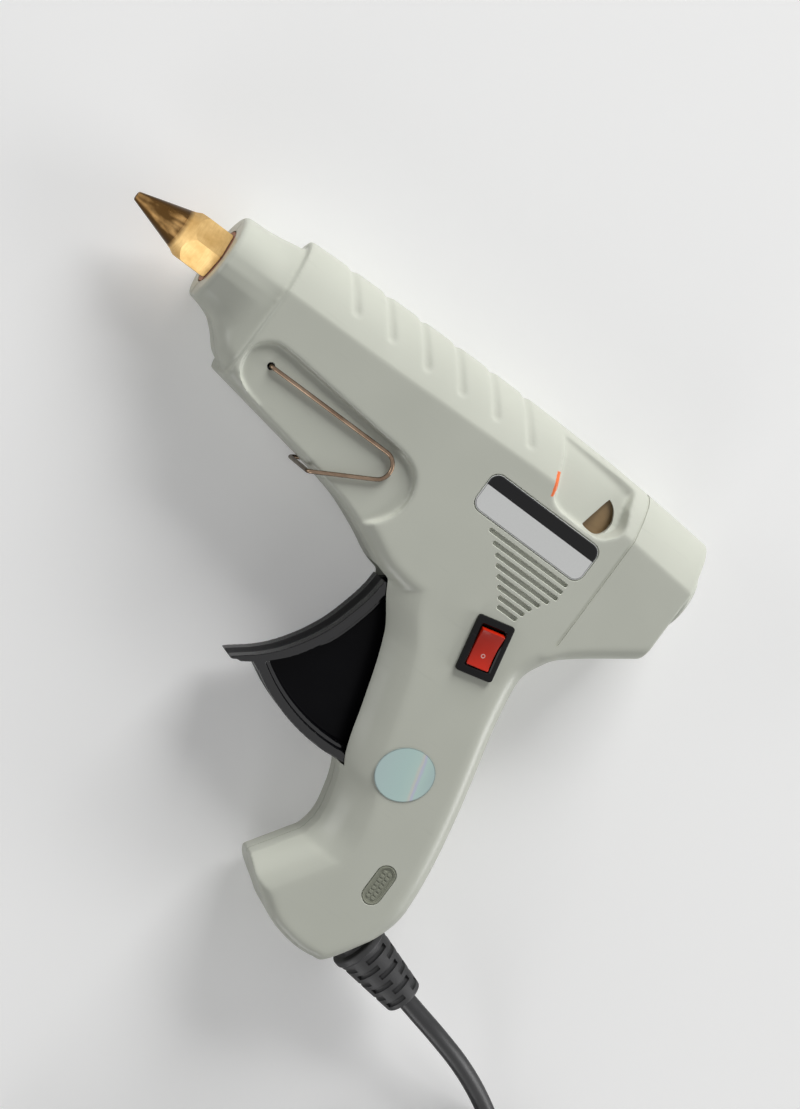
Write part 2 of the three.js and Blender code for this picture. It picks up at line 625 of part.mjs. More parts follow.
// Chamber: bore for the stick, throat, threaded socket, saddle with the heater's slot
function heatingChamber() {
  const shell = turnedSolid([
    [chamber.front, nozzle.shankRadius + gap], [chamber.front + chamber.socketDepth, nozzle.shankRadius + gap],
    [chamber.front + chamber.socketDepth, chamber.throat],
    [chamber.front + chamber.socketDepth + chamber.throatLength, chamber.throat],
    [chamber.front + chamber.socketDepth + 2 * chamber.throatLength, boreRadius],
    [spigotRear, boreRadius], [spigotRear, chamber.spigotRadius], [chamberRear, chamber.spigotRadius],
    [chamberRear, chamber.radius], [chamber.front, chamber.radius],
  ]);
  const saddle = cut(
    block(heaterX, heaterX + heater.length, -saddleDepth - heater.slotWall, -boreRadius - gap, -saddleHalf,
      saddleHalf),
    block(heaterX - overrun, heaterX + heater.length + overrun, -saddleDepth,
      -saddleDepth + heater.thick + 2 * gap,
      -heater.width / 2 - gap, heater.width / 2 + gap),
    axisHole(heaterX - overrun, heaterX + heater.length + overrun, boreRadius + gap),
  );
  return join(shell, saddle);
}
add('heating_chamber', heatingChamber(), finish('#9fa2a4', 0.45, 0.9));

const heaterY = -saddleDepth + gap;
add('ptc_heater', block(heaterX - heater.lead / 2, heaterX + heater.length + heater.lead / 2, heaterY,
  heaterY + heater.thick,
  -heater.width / 2, heater.width / 2), finish('#b5712c', 0.5));

// Spring plate that hugs the saddle from below
const clip = { thick: 0.8, length: 18, lip: 7 };
function heaterClip() {
  const x0 = heaterX + (heater.length - clip.length) / 2;
  const low = -saddleDepth - heater.slotWall - gap;
  const inside = saddleHalf + gap;
  const outside = inside + clip.thick;
  return cut(
    block(x0, x0 + clip.length, low - clip.thick, low + clip.lip, -outside, outside),
    block(x0 - overrun, x0 + clip.length + overrun, low, low + clip.lip + overrun, -inside, inside),
    axisHole(x0 - overrun, x0 + clip.length + overrun, chamber.radius + gap),
  );
}
add('heater_clip', heaterClip(), finish('#8d8f93', 0.3, 0.95));

add('inlet_sleeve', turnedSolid([
  [sleeveFront, chamber.spigotRadius + gap], [spigotRear + gap, chamber.spigotRadius + gap],
  [spigotRear + gap, boreRadius], [sleeveRear, boreRadius], [sleeveRear, boreRadius + sleeve.wallThick],
  [sleeveFront + sleeve.lip, boreRadius + sleeve.wallThick], [sleeveFront + sleeve.lip, sleeveRadius],
  [sleeveFront, sleeveRadius],
]), finish('#a8402c', 0.6));
add('sleeve_clamp', ring(sleeveFront + clampRing.x, sleeveFront + clampRing.x + clampRing.wire,
  sleeveRadius + gap,
  sleeveRadius + gap + clampRing.wire), finish('#8d8f93', 0.3, 0.95));

add('stick_guide', ring(guideFront, guideRear, boreRadius, guideRadius), finish('#6e5a2a', 0.5));

// Ring at the glue stick's entry, trapped behind the rear wall
add('rear_collar', turnedSolid([
  [entryFront, entry.inner], [rearX + entry.proud - entry.flangeRim, entry.inner],
  [rearX + entry.proud, entry.inner + entry.flangeRim / 2],
  [rearX + entry.proud, entry.outer - entry.flangeRim],
  [rearX + entry.proud - entry.flangeRim, entry.outer], [rearX - wall - gap, entry.outer],
  [rearX - wall - gap, entry.outer + entry.flangeRim], [entryFront, entry.outer + entry.flangeRim],
]), finish('#b9bcb0', 0.4));

// Trigger: front of the finger flange seen from the side, top to toe; shares of its reach, from its pivot
const fingerShares = [[-0.2667, -0.1069], [-0.2747, -0.206], [-0.2987, -0.3155], [-0.3334, -0.4329],
  [-0.3788, -0.5346], [-0.4348, -0.6285],
  [-0.5014, -0.7119], [-0.5815, -0.7823], [-0.6588, -0.8267], [-0.6828, -0.8658], [-0.6375, -0.8919],
  [-0.5521, -0.8658]];
const fingerCurve = 9;         // points of the flange before the toe turns back
const flangeSteps = 10;

// A strip of even thickness behind a line of points
function strip(points, thick, low, high) {
  const behind = points.map(([x, y], i) => {
    const [px, py] = points[Math.max(i - 1, 0)];
    const [nx, ny] = points[Math.min(i + 1, points.length - 1)];
    const side = new THREE.Vector2(py - ny, nx - px).normalize().multiplyScalar(thick);
    return [x + side.x, y + side.y];
  });
  return prism([...points, ...behind.reverse()], low, high);
}

function triggerBody() {
  const finger = fingerShares.map(([x, y]) => [pivot[0] + x * trigger.reach, pivot[1] + y * trigger.reach]);
  const flangeTo = turn(278);
  const inner = trigger.reach - trigger.flange;
  const toeX = finger[finger.length - 1][0];
  const flangeFrom = Math.PI + Math.acos((pivot[0] - toeX) / trigger.reach);
  const outside = arc(...pivot, trigger.reach, flangeFrom, flangeTo, flangeSteps);
  const lower = prism([...outside, ...arc(...pivot, inner, flangeTo, flangeFrom, flangeSteps)],
    -trigger.half, trigger.half);
  const front = strip(finger.slice(0, fingerCurve), trigger.flange, -trigger.half, trigger.half);
  const toe = prism([...finger.slice(fingerCurve - 2), outside[1], arc(...pivot, inner, flangeFrom, flangeTo,
    flangeSteps)[1]],
    -trigger.half, trigger.half);
  const web = prism([...finger.slice(0, fingerCurve), ...outside,
    [pivot[0] + trigger.hub, pivot[1]], [pivot[0], pivot[1] + trigger.hub]], -trigger.web, trigger.web);
  const top = -carriageRadius - 2 * gap;
  const pinHalf = carriage.pin + gap;
  const armHalf = pinHalf + trigger.prong;
  const arm = cut(
    block(pivot[0] - armHalf, pivot[0] + armHalf, pivot[1], top, -trigger.web, trigger.web),
    block(pivot[0] - pinHalf, pivot[0] + pinHalf, feedPin[1] - pinHalf - gap, top + overrun, -halfWidth,
      halfWidth),
  );
  const hub = bar(...pivot, trigger.hub, -trigger.hubHalf, trigger.hubHalf, round);
  return cut(join(lower, front, toe, web, arm, hub), bar(...pivot, trigger.pin + gap, -halfWidth, halfWidth));
}
const black = finish('#17181a', 0.35);
add('trigger', triggerBody(), black);
const steel = finish('#a4a6a8', 0.3, 1);
add('trigger_pin', bar(...pivot, trigger.pin, wall + gap - halfWidth, halfWidth - wall - gap), steel);

// Carriage: ring with two ears below and a clevis for the pawl above
const pawl = { half: 2, pin: 1.1, length: 9, tooth: 0.6 };
const pawlPivot = [carriageX + carriage.length - 2 * pawl.pin - gap, carriageRadius + pawl.pin + gap];
function feedCarriage() {
  const hoop = ring(carriageX, carriageX + carriage.length, boreRadius + gap, carriageRadius);
  const x0 = feedPin[0] - carriage.pin - carriage.ear;
  const x1 = feedPin[0] + carriage.pin + carriage.ear;
  const low = feedPin[1] - carriage.pin - carriage.ear;
  const ear = block(x0, x1, low, -boreRadius - 2 * gap, carriage.earGap, carriage.earGap + carriage.ear);
  const lugLow = carriageRadius - carriage.ring / 2;
  const lug = block(pawlPivot[0] - 2 * pawl.pin, pawlPivot[0] + 2 * pawl.pin, lugLow,
    pawlPivot[1] + 2 * pawl.pin,
    pawl.half + gap, pawl.half + gap + carriage.ear);
  return cut(join(hoop, bothSides(ear), bothSides(lug)),
    axisHole(carriageX - overrun, carriageX + carriage.length + overrun, boreRadius + gap),
    block(carriageX - overrun, carriageX + carriage.length + overrun, boreRadius - pawl.half,
      pawlPivot[1] + 3 * pawl.pin, -pawl.half - gap, pawl.half + gap),
    bar(...feedPin, carriage.pin + gap, -halfWidth, halfWidth),
    bar(...pawlPivot, pawl.pin + gap, -halfWidth, halfWidth));
}
add('feed_carriage', feedCarriage(), finish('#2a2b2d', 0.5));
add('feed_pin', bar(...feedPin, carriage.pin, springZ - spring.radius / 2, feedPinEnd), steel);

// Pawl: a toothed lever that tips its front edge onto the stick
function gripPawl() {
  const [x, y] = pawlPivot;
  const eye = 2 * pawl.pin;
  const bite = boreRadius + pawl.tooth;
  const teeth = [[x - pawl.length, bite], [x - pawl.length + pawl.tooth, bite + pawl.tooth],
    [x - pawl.length + 2 * pawl.tooth, bite], [x - pawl.length + 3 * pawl.tooth, bite + pawl.tooth]];
  const body = prism([...teeth, [x, y - eye / 2], [x, y + eye / 2], [x - pawl.length, y]], -pawl.half,
    pawl.half);
  return cut(join(body, bar(x, y, eye, -pawl.half, pawl.half)), bar(x, y, pawl.pin + gap, -halfWidth,
    halfWidth));
}
add('grip_pawl', gripPawl(), steel);
const pawlPinHalf = pawl.half + gap + carriage.ear;
add('pawl_pin', bar(...pawlPivot, pawl.pin, -pawlPinHalf, pawlPinHalf), steel);

// Return spring from the feed pin's far end to a post behind
function returnSpring() {
  const steps = spring.coils * spring.steps;
  const points = Array.from({ length: steps + 1 }, (_, i) => {
    const angle = i / spring.steps * 2 * Math.PI;
    return new THREE.Vector3(springFront + i / steps * spring.span,
      feedPin[1] + spring.radius * Math.sin(angle),
      springZ + spring.radius * Math.cos(angle));
  });
  return sweep(points, spring.wire / 2, spring.sides);
}
add('return_spring', returnSpring(), steel);

// Wire stand, one bent wire from leg end to leg end
function wireStand() {
  const [x, y] = standPivot;
  const corner = stand.wire / 2 + gap;
  const bendX = x + stand.legLength;
  const bendY = y - stand.bend;
  const leave = turn(stand.returnAngle);
  const bendEnd = leave + Math.PI / 2 - 2 * Math.PI;
  const bends = arc(bendX, bendY, stand.bend, Math.PI / 2, bendEnd, 6);
  const [endX, endY] = bends[bends.length - 1];
  const run = (crossbarY - endY) / Math.sin(leave);
  const barX = endX + run * Math.cos(leave);
  const inset = corner / run;
  const side = [
    [x, y, halfWidth - stand.pocket - stand.endDepth + gap], [x, y, legZ - corner], [x + corner, y, legZ],
    ...bends.map(([bx, by]) => [bx, by, legZ]),
    [barX + (endX - barX) * inset, crossbarY + (endY - crossbarY) * inset, legZ],
    [barX, crossbarY, legZ - corner],
  ];
  const other = side.map(([px, py, pz]) => [px, py, -pz]).reverse();
  return sweep([...side, ...other].map((point) => new THREE.Vector3(...point)), stand.wire / 2, small / 2);
}

// Rings of a fixed number of sides set square to a chain of points
function sweep(points, radius, sides) {
  const across = new THREE.Vector3();
  let up = null;
  const rings = points.map((point, i) => {
    const ahead = points[Math.min(i + 1, points.length - 1)].clone().sub(point).normalize();
    const behind = point.clone().sub(points[Math.max(i - 1, 0)]).normalize();
    const along = ahead.add(behind).normalize();
    if (!up) up = Math.abs(along.z) < 0.9 ? new THREE.Vector3(0, 0, 1) : new THREE.Vector3(1, 0, 0);
    across.crossVectors(along, up).normalize();
    up = new THREE.Vector3().crossVectors(across, along).normalize();
    return Array.from({ length: sides }, (_, k) => {
      const angle = 2 * Math.PI * (k + 0.5) / sides;
      return point.clone().addScaledVector(across, radius * Math.cos(angle)).addScaledVector(up,
        radius * Math.sin(angle));
    });
  });
  return solid(loft(rings));
}
add('wire_stand', wireStand(), finish('#b79c72', 0.25, 1));

// Switch: frame and body in one, rocker tilted to its off position
const rocker = { length: 11.6, width: 7.4, rise: 2.9, hollow: 1.1, drop: 2.6, tilt: 9 };
function switchFrame() {
  const flange = prism(roundedBox(0, 0, switchBox.width, switchBox.length, switchBox.corner),
    halfWidth + gap / 2,
    halfWidth + switchBox.flange);
  const body = block(-switchBox.bodyWidth / 2, switchBox.bodyWidth / 2, -switchBox.bodyLength / 2,
    switchBox.bodyLength / 2,
    halfWidth - switchBox.depth, halfWidth + switchBox.flange / 2);
  const mouth = block(-rocker.width / 2 - gap, rocker.width / 2 + gap, -rocker.length / 2 - 2 * gap,
    rocker.length / 2 + 2 * gap,
    halfWidth - switchBox.depth / 2, halfWidth + overrun);
  return onSwitch(cut(join(flange, body), mouth));
}
add('switch_frame', switchFrame(), black);

const rockerPivotZ = halfWidth - 0.6;
function switchRocker() {
  const half = rocker.length / 2;
  const profile = [[-half, rocker.rise], [-half / 2, rocker.rise - rocker.hollow / 2],
    [0, rocker.rise - rocker.hollow],
    [half / 2, rocker.rise - rocker.hollow / 2], [half, rocker.rise], [half, 0], [half / 2, -rocker.drop],
    [-half / 2, -rocker.drop],
    [-half, 0]];
  const tilted = profile.map(([u, h]) => {
    const angle = turn(rocker.tilt);
    return [u * Math.cos(angle) - h * Math.sin(angle), u * Math.sin(angle) + h * Math.cos(angle)];
  });
  const side = (x) => tilted.map(([u, h]) => new THREE.Vector3(x, u, rockerPivotZ + h));
  return onSwitch(solid(loft([side(-rocker.width / 2), side(rocker.width / 2)])));
}
add('switch_rocker', switchRocker(), finish('#c81f18', 0.22));

const terminal = { width: 4.2, thick: 0.8, length: 5.5, pitch: 7 };
const terminalTop = halfWidth - switchBox.depth - gap;
const terminalAlong = [-1, 1].map((side) => side * terminal.pitch / 2);
terminalAlong.forEach((y, i) => {
  const blade = block(-terminal.width / 2, terminal.width / 2, y - terminal.thick / 2, y + terminal.thick / 2,
    terminalTop - terminal.length, terminalTop);
  add(`switch_terminal_${i + 1}`, onSwitch(blade), finish('#c8b27a', 0.3, 1));
});

// Plate, sticker and insert on the near side
add('label_plate', prism(roundedBox(label.x, label.y, label.length, label.height, label.corner),
  halfWidth - label.recess + gap / 3,
  halfWidth - label.recess + gap / 3 + label.thick), finish('#d9dad6', 0.4));
add('round_sticker', prism(arc(0, 0, 1, 0, 2 * Math.PI, round).slice(0, -1)
  .map(([x, y]) => [sticker.x + x * sticker.length / 2, sticker.y + y * sticker.height / 2]),
    halfWidth + gap / 3,
halfWidth + gap / 3 + sticker.thick), finish('#a9d3cf', 0.3));
add('oval_insert', prism(roundedBox(oval.x, oval.y, oval.width - gap, oval.length - gap,
  (oval.width - gap) / 2),
  halfWidth - oval.depth + gap / 3, halfWidth - oval.depth + gap / 3 + oval.thick), finish('#8b8f80', 0.6));

// Strain relief: inner flange behind the heel's wall, neck through it, ribbed taper outside
function strainRelief() {
  const neckRadius = boot.radius - boot.flangeRim;
  const profile = [[-boot.neck - boot.flange, boot.bore], [-boot.neck - boot.flange, boot.radius],
    [-boot.neck, boot.radius],
    [-boot.neck, neckRadius], [0, neckRadius], [0, boot.radius], [boot.flange, boot.radius]];
  const run = (boot.length - boot.flange) / boot.ribs;
  const root = 0.35;
  for (let i = 0; i < boot.ribs; i += 1) {
    const x = boot.flange + i * run;
    const radius = boot.radius + (boot.tipRadius - boot.radius) * (i + 1) / boot.ribs;
    profile.push([x + boot.ribCut / 2, radius - boot.ribCut], [x + root * run, radius - boot.ribCut],
      [x + root * run + boot.ribCut / 2, radius], [x + run, radius]);
  }
  profile.push([boot.length, boot.bore]);
  return onHeel(turnedSolid(profile, boot.sides));
}
add('strain_relief', strainRelief(), finish('#1c1c1d', 0.7));

// Cord end inside the handle; the clamp is screwed to pillars of the right half
const cordBlack = finish('#1b1b1c', 0.55);
const cordRadius = cord.diameter / 2;
add('inner_cord', onHeel(turnedSolid([[-cord.innerLength, 0], [-cord.innerLength, cordRadius],
  [boot.length - gap, cordRadius], [boot.length - gap, 0]], small)), cordBlack);

const clampX = -cord.innerLength + strap.half + overrun;
const clampTop = cordRadius + gap + strap.thick;
const strapBody = block(clampX - strap.half, clampX + strap.half, -strap.reach - strap.half,
  strap.reach + strap.half,
  cordRadius + gap, clampTop);
const strapHoles = [-1, 1].map((side) => bar(clampX, side * strap.reach, strap.shank + gap, 0,
  clampTop + overrun, least));
add('cord_clamp', onHeel(cut(strapBody, ...strapHoles)), black);
[-1, 1].forEach((side, i) => {
  const y = side * strap.reach;
  const head = bar(clampX, y, strap.head, clampTop + gap, clampTop + gap + strap.headThick, least);
  const shank = bar(clampX, y, strap.shank, clampTop - strap.screw, clampTop + gap + strap.headThick / 2,
    least);
  add(`clamp_screw_${i + 1}`, onHeel(join(head, shank)), screwSteel);
});

// Leads at the back of the handle and under the barrel, from front or lower end to the other.
// Their routes are shares of the barrel's length, of the drop and of the half width, chosen by hand.
const lead = { radius: 0.8, apart: 2.4, dip: 3, sides: 5, steps: 15, red: '#9c2a20', blue: '#2c4f8f',
  white: '#d8d6cf' };
const toSwitch = terminalTop - terminal.length - gap;
const [upper, lower] = [1, -1].map((side) => new THREE.Vector3(0, side * terminal.pitch / 2, 0)
  .applyAxisAngle(new THREE.Vector3(0, 0, 1), turn(switchBox.lean)).add(new THREE.Vector3(switchBox.x,
    switchBox.y, 0)));
const heaterEnd = heaterX + heater.length + heater.lead / 2 + 2 * gap;
const heaterMid = heaterY + heater.thick / 2;
const routeShares = {
  live: [
    [0.7498, 0.8924, 0.0828], [0.7338, 0.8738, 0.0414], [0.7366, 0.8339, -0.2069],
    [0.7505, 0.7698, -0.5172], [0.7686, 0.6771, -0.6897], [0.7707, 0.5702, -0.6897],
    [0.7672, 0.4704, -0.6897], [0.7547, 0.392, -0.6897],
  ],
  neutral: [
    [0.7484, 0.9045, -0.0828], [0.7296, 0.8881, -0.1103], [0.7206, 0.8411, -0.3448],
    [0.731, 0.7698, -0.5931], [0.7463, 0.6771, -0.6897], [0.7477, 0.5702, -0.6897],
    [0.7422, 0.4704, -0.6897], [0.7199, 0.3706, -0.6897], [0.6948, 0.2851, -0.6897],
    [0.6641, 0.221, -0.6897], [0.6042, 0.1924, -0.6621], [0.5066, 0.1782, -0.5517],
    [0.4091, 0.1682, -0.5241], [0.3394, 0.1525, -0.4138], [0.2976, 0.1354, -0.1379],
    [0.2669, 0.1098, 0.0828],
  ],
  heater: [
    [0.692, 0.2138, -0.6897], [0.6571, 0.1753, -0.6897], [0.6042, 0.1625, -0.6621],
    [0.5066, 0.1525, -0.5517], [0.4091, 0.1454, -0.5379], [0.3254, 0.1311, -0.4276],
    [0.2836, 0.1112, -0.2897],
  ],
};
const routed = (shares) => shares.map(([x, drop, z]) => [alongBarrel(x), belowAxis(drop), z * halfWidth]);
const under = ({ x, y }, z) => [x, y, z];
const heaterLegs = [1, -1].map((side) => [
  [heaterEnd + lead.dip, heaterMid, side * lead.apart], [heaterEnd, heaterMid, side * lead.apart],
]);
const leads = {
  wire_live: [...routed(routeShares.live), under(lower, toSwitch - lead.dip), under(lower, toSwitch)],
  wire_neutral: [...routed(routeShares.neutral), ...heaterLegs[0]],
  wire_heater: [under(upper, toSwitch), under(upper, toSwitch - lead.dip), ...routed(routeShares.heater),
    ...heaterLegs[1]],
};
const leadPaint = { wire_live: lead.red, wire_neutral: lead.blue, wire_heater: lead.white };
for (const [name, points] of Object.entries(leads)) {
  const curve = smooth(points);
  add(name, sweep(curve.getSpacedPoints(lead.steps), lead.radius, lead.sides), finish(leadPaint[name], 0.6));
}

// The cord outside: down to the floor, a round coil of two layers, a short end and a 12 V plug.
// Its points are chosen by hand, in millimetres from the stick's axis at the nozzle's tip.
const coil = { turns: 7.375, steps: 24, sides: 6, pitch: 6.1, radius: 44, startAngle: 45, climb: 0.5 };
const cordRoute = [[197.3, -137.23, 0], [204.8, -139.1, 0], [212.52, -141.03, -0.1], [223.54, -144.3, -2.2],
  [234.22, -148.55, -6.1], [244.48, -153.75, -10], [254.22, -159.86, -11.7], [263.37, -166.82, -11.75],
  [271.86, -174.56, -11.75], [275.17, -177.87, -11.75]];
const coilStart = [279.28, -181.98];
const cordFloor = cordRadius - halfWidth;
const headingAt = (angle) => new THREE.Vector2(Math.sin(angle), -Math.cos(angle));
const coilCentre = [coilStart[0] - coil.radius * Math.cos(turn(coil.startAngle)),
  coilStart[1] - coil.radius * Math.sin(turn(coil.startAngle))];

function coilPoints() {
  const count = Math.round(coil.turns * coil.steps);
  const middle = coil.turns / 2;
  const points = Array.from({ length: count + 1 }, (_, i) => {
    const turns = i / coil.steps;
    const angle = turn(coil.startAngle) - turns * 2 * Math.PI;
    const radius = coil.radius - coil.pitch * (middle - Math.abs(middle - turns));
    const rise = THREE.MathUtils.smoothstep(turns, middle - coil.climb / 2, middle + coil.climb / 2);
    return new THREE.Vector3(coilCentre[0] + radius * Math.cos(angle), coilCentre[1] + radius * Math.sin(angle),
      cordFloor + rise * coil.pitch);
  });
  const ends = [[points[0], turn(coil.startAngle), -1], [points[count],
    turn(coil.startAngle - coil.turns * 360), 1]];
  const [before, after] = ends.map(([point, angle, side]) => {
    const heading = headingAt(angle).multiplyScalar(side * cord.diameter);
    return new THREE.Vector3(point.x + heading.x, point.y + heading.y, point.z);
  });
  return [before, ...points, after];
}

// Least gap of the coil to itself, leaving out the stretch next to each point
function leastGap(points) {
  const spaced = new THREE.CatmullRomCurve3(points).getSpacedPoints(points.length * 4);
  const apart = Math.ceil(coil.steps * 2);
  let nearest = Infinity;
  spaced.forEach((point, i) => {
    for (let j = i + apart; j < spaced.length; j += 1) nearest = Math.min(nearest, point.distanceTo(spaced[j]));
  });
  return nearest - cord.diameter;
}
const coilRoute = coilPoints();
console.log(`cord coil: least gap to itself ${leastGap(coilRoute).toFixed(2)} mm`);

add('cord_lead', solid(tube(smooth(cordRoute), cordRadius, cord.sides, cord.leadSteps)), cordBlack);
add('cord_coil', sweep(coilRoute, cordRadius, coil.sides), cordBlack);

// Plug: grip, nose with two side springs, centre pin
const plug = { grip: 46, gripRadius: 12, neck: 14, neckRadius: 4, nose: 36, noseRadius: 9.8, spigot: 8,
  spigotRadius: 7,
  hollow: 6, front: 4, pin: 2.6, pinProud: 5, pinCollar: 4.8, collarThick: 2.4, bow: 0.9, leaf: 0.6,
  leafWidth: 4.4, leafLength: 19, leafSteps: 6, tail: 30 };
const coilEnd = coilRoute[coilRoute.length - 1];
const plugAxis = plug.gripRadius - halfWidth;
const plugEntry = new THREE.Vector3(coilEnd.x - plug.tail, coilEnd.y, plugAxis);
const tailRoute = [[coilEnd.x - gap, coilEnd.y, coilEnd.z], [coilEnd.x - cord.diameter, coilEnd.y, coilEnd.z],
  [coilEnd.x - plug.tail / 2, coilEnd.y, (coilEnd.z + plugAxis) / 2],
  [plugEntry.x + cord.diameter, coilEnd.y, plugAxis], [plugEntry.x + gap, coilEnd.y, plugAxis]];
add('cord_tail', solid(tube(smooth(tailRoute), cordRadius, cord.sides, cord.tailSteps)), cordBlack);
const onPlug = (body) => inPlane(body, 180, plugEntry.x, plugEntry.y, plugEntry.z);

const gripEnd = plug.grip;
const noseEnd = plug.grip + gap + plug.nose;
const socketDepth = plug.spigot + gap;
add('plug_body', onPlug(turnedSolid([
  [0, 0], [0, plug.neckRadius], [plug.neck, plug.neckRadius + plug.bow],
  [plug.neck, plug.spigotRadius + overrun / 2],
  [plug.neck + overrun, plug.gripRadius - overrun / 2], [plug.grip / 2, plug.gripRadius - overrun],
  [gripEnd - overrun, plug.gripRadius], [gripEnd, plug.gripRadius], [gripEnd, plug.spigotRadius + gap],
  [gripEnd - socketDepth, plug.spigotRadius + gap], [gripEnd - socketDepth, 0],
])), black);

const leafFront = noseEnd - plug.front - plug.leafLength;
function plugNose() {
  const turnedNose = turnedSolid([
    [gripEnd - plug.spigot, plug.hollow], [gripEnd - plug.spigot, plug.spigotRadius],
    [gripEnd + gap, plug.spigotRadius],
    [gripEnd + gap, plug.noseRadius], [noseEnd - overrun, plug.noseRadius],
    [noseEnd, plug.noseRadius - overrun],
    [noseEnd, plug.pin + gap], [noseEnd - plug.front, plug.pin + gap], [noseEnd - plug.front, plug.hollow],
  ]);
  const slotHalf = plug.leafWidth / 2 + gap;
  const slot = block(leafFront - gap, leafFront + plug.leafLength + gap, plug.noseRadius - 2 * plug.bow - gap,
    plug.noseRadius + overrun, -slotHalf, slotHalf);
  return cut(turnedNose, slot, moved(slot, new THREE.Matrix4().makeScale(1, -1, 1)));
}
add('plug_nose', onPlug(plugNose()), black);

const collarEnd = noseEnd - plug.front - gap;
add('plug_pin', onPlug(turnedSolid([
  [collarEnd - plug.collarThick, 0], [collarEnd - plug.collarThick, plug.pinCollar],
  [collarEnd, plug.pinCollar],
  [collarEnd, plug.pin], [noseEnd + plug.pinProud - plug.pin / 2, plug.pin],
  [noseEnd + plug.pinProud, plug.pin / 2],
  [noseEnd + plug.pinProud, 0],
], small)), steel);

[1, -1].forEach((side, i) => {
  const seat = plug.noseRadius - 2 * plug.bow;
  const line = arcThrough(leafFront, seat, plug.leafLength, 3 * plug.bow - plug.leaf);
  const back = line.map(([x, y]) => [x, y + plug.leaf]).reverse();
  const leaf = prism([...line, ...back], -plug.leafWidth / 2, plug.leafWidth / 2);
  add(`plug_contact_${i + 1}`, onPlug(moved(leaf, new THREE.Matrix4().makeScale(1, side, 1))), steel);
});

// A shallow bow of given length and height, in straight steps
function arcThrough(x, y, length, height) {
  const steps = plug.leafSteps;
  return Array.from({ length: steps + 1 }, (_, i) =>
    [x + length * i / steps, y + height * Math.sin(Math.PI * i / steps)]);
}

// The origin lies under the middle of the gun, the cord left out, on the surface it rests on
const cordNames = ['cord_lead', 'cord_coil', 'cord_tail', 'plug_body', 'plug_nose', 'plug_pin',
  'plug_contact_1', 'plug_contact_2'];
const box = new THREE.Box3();
gun.children.filter((mesh) => !cordNames.includes(mesh.name)).forEach((mesh) => box.expandByObject(mesh));
const middle = box.getCenter(new THREE.Vector3());
gun.children.forEach((mesh) => mesh.geometry.translate(-middle.x, -middle.y, -box.min.z));

export default gun;
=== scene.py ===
import bpy
import math
from mathutils import Matrix, Vector


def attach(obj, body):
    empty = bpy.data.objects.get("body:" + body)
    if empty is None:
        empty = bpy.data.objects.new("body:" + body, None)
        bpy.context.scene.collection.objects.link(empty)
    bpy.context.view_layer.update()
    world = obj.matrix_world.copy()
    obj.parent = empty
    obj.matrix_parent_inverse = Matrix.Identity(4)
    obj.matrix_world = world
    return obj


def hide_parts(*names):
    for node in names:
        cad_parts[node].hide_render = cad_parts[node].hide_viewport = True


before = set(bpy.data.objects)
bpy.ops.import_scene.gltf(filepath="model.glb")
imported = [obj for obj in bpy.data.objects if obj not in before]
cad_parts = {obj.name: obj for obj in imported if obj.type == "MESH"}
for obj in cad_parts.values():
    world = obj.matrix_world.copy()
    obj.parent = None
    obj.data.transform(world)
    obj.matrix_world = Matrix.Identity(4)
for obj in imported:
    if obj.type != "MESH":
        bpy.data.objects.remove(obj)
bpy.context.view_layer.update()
scene = bpy.context.scene
scene.view_settings.view_transform = "Standard"
print("glue gun: frame loaded")

# Shapes are worked out in millimetres from the stick's axis at the nozzle's tip, then set in the frame
frameSpot = {"x": 99.20133209, "y": -61.1531391, "z": -14.5, "perMetre": 1000}
toMetres = Matrix.Scale(1 / frameSpot["perMetre"], 4) @ Matrix.Translation(
    (-frameSpot["x"], -frameSpot["y"], -frameSpot["z"]))


# Camera at the photograph's angle

cameraSetup = {
    "spot": (-0.2013, 0.0391, 0.7555),
    "right": (0.7736, 0.5949, 0.2186),
    "up": (-0.5664, 0.8037, -0.1827),
    "focalPixels": 2786,
    "imageHeight": 1109,
    "sensor": 36,
}


def makeCamera(setup):
    lens = bpy.data.cameras.new("camera")
    lens.sensor_fit = "VERTICAL"
    lens.sensor_height = setup["sensor"]
    lens.lens = setup["focalPixels"] / setup["imageHeight"] * setup["sensor"]
    lens.clip_start = 0.01
    holder = bpy.data.objects.new("camera", lens)
    scene.collection.objects.link(holder)
    right = Vector(setup["right"]).normalized()
    up = Vector(setup["up"]).normalized()
    back = right.cross(up)
    facing = Matrix((right, up, back)).transposed().to_4x4()
    holder.matrix_world = Matrix.Translation(setup["spot"]) @ facing
    scene.camera = holder


makeCamera(cameraSetup)


# Nodes: a socket that can be added, multiplied and compared, and a maker that adds nodes to a tree

# An operator's two methods: wire + 1 and 1 + wire
def bothWays(operation):
    return (lambda wire, other: wire.maker.maths(operation, wire, other),
            lambda wire, other: wire.maker.maths(operation, other, wire))


class Wire:
    def __init__(self, maker, socket):
        self.maker = maker
        self.socket = socket

    def __abs__(self):
        return self.maker.maths("ABSOLUTE", self, 0)

    __add__, __radd__ = bothWays("ADD")
    __sub__, __rsub__ = bothWays("SUBTRACT")
    __mul__, __rmul__ = bothWays("MULTIPLY")
    __truediv__, __rtruediv__ = bothWays("DIVIDE")
    __pow__, __rpow__ = bothWays("POWER")
    __gt__, __lt__ = bothWays("GREATER_THAN")


def setStops(ramp, stops):
    while len(ramp.elements) < len(stops):
        ramp.elements.new(1)
    for element, (where, shade) in zip(ramp.elements, stops):
        element.position = where
        element.color = (*shade, 1)


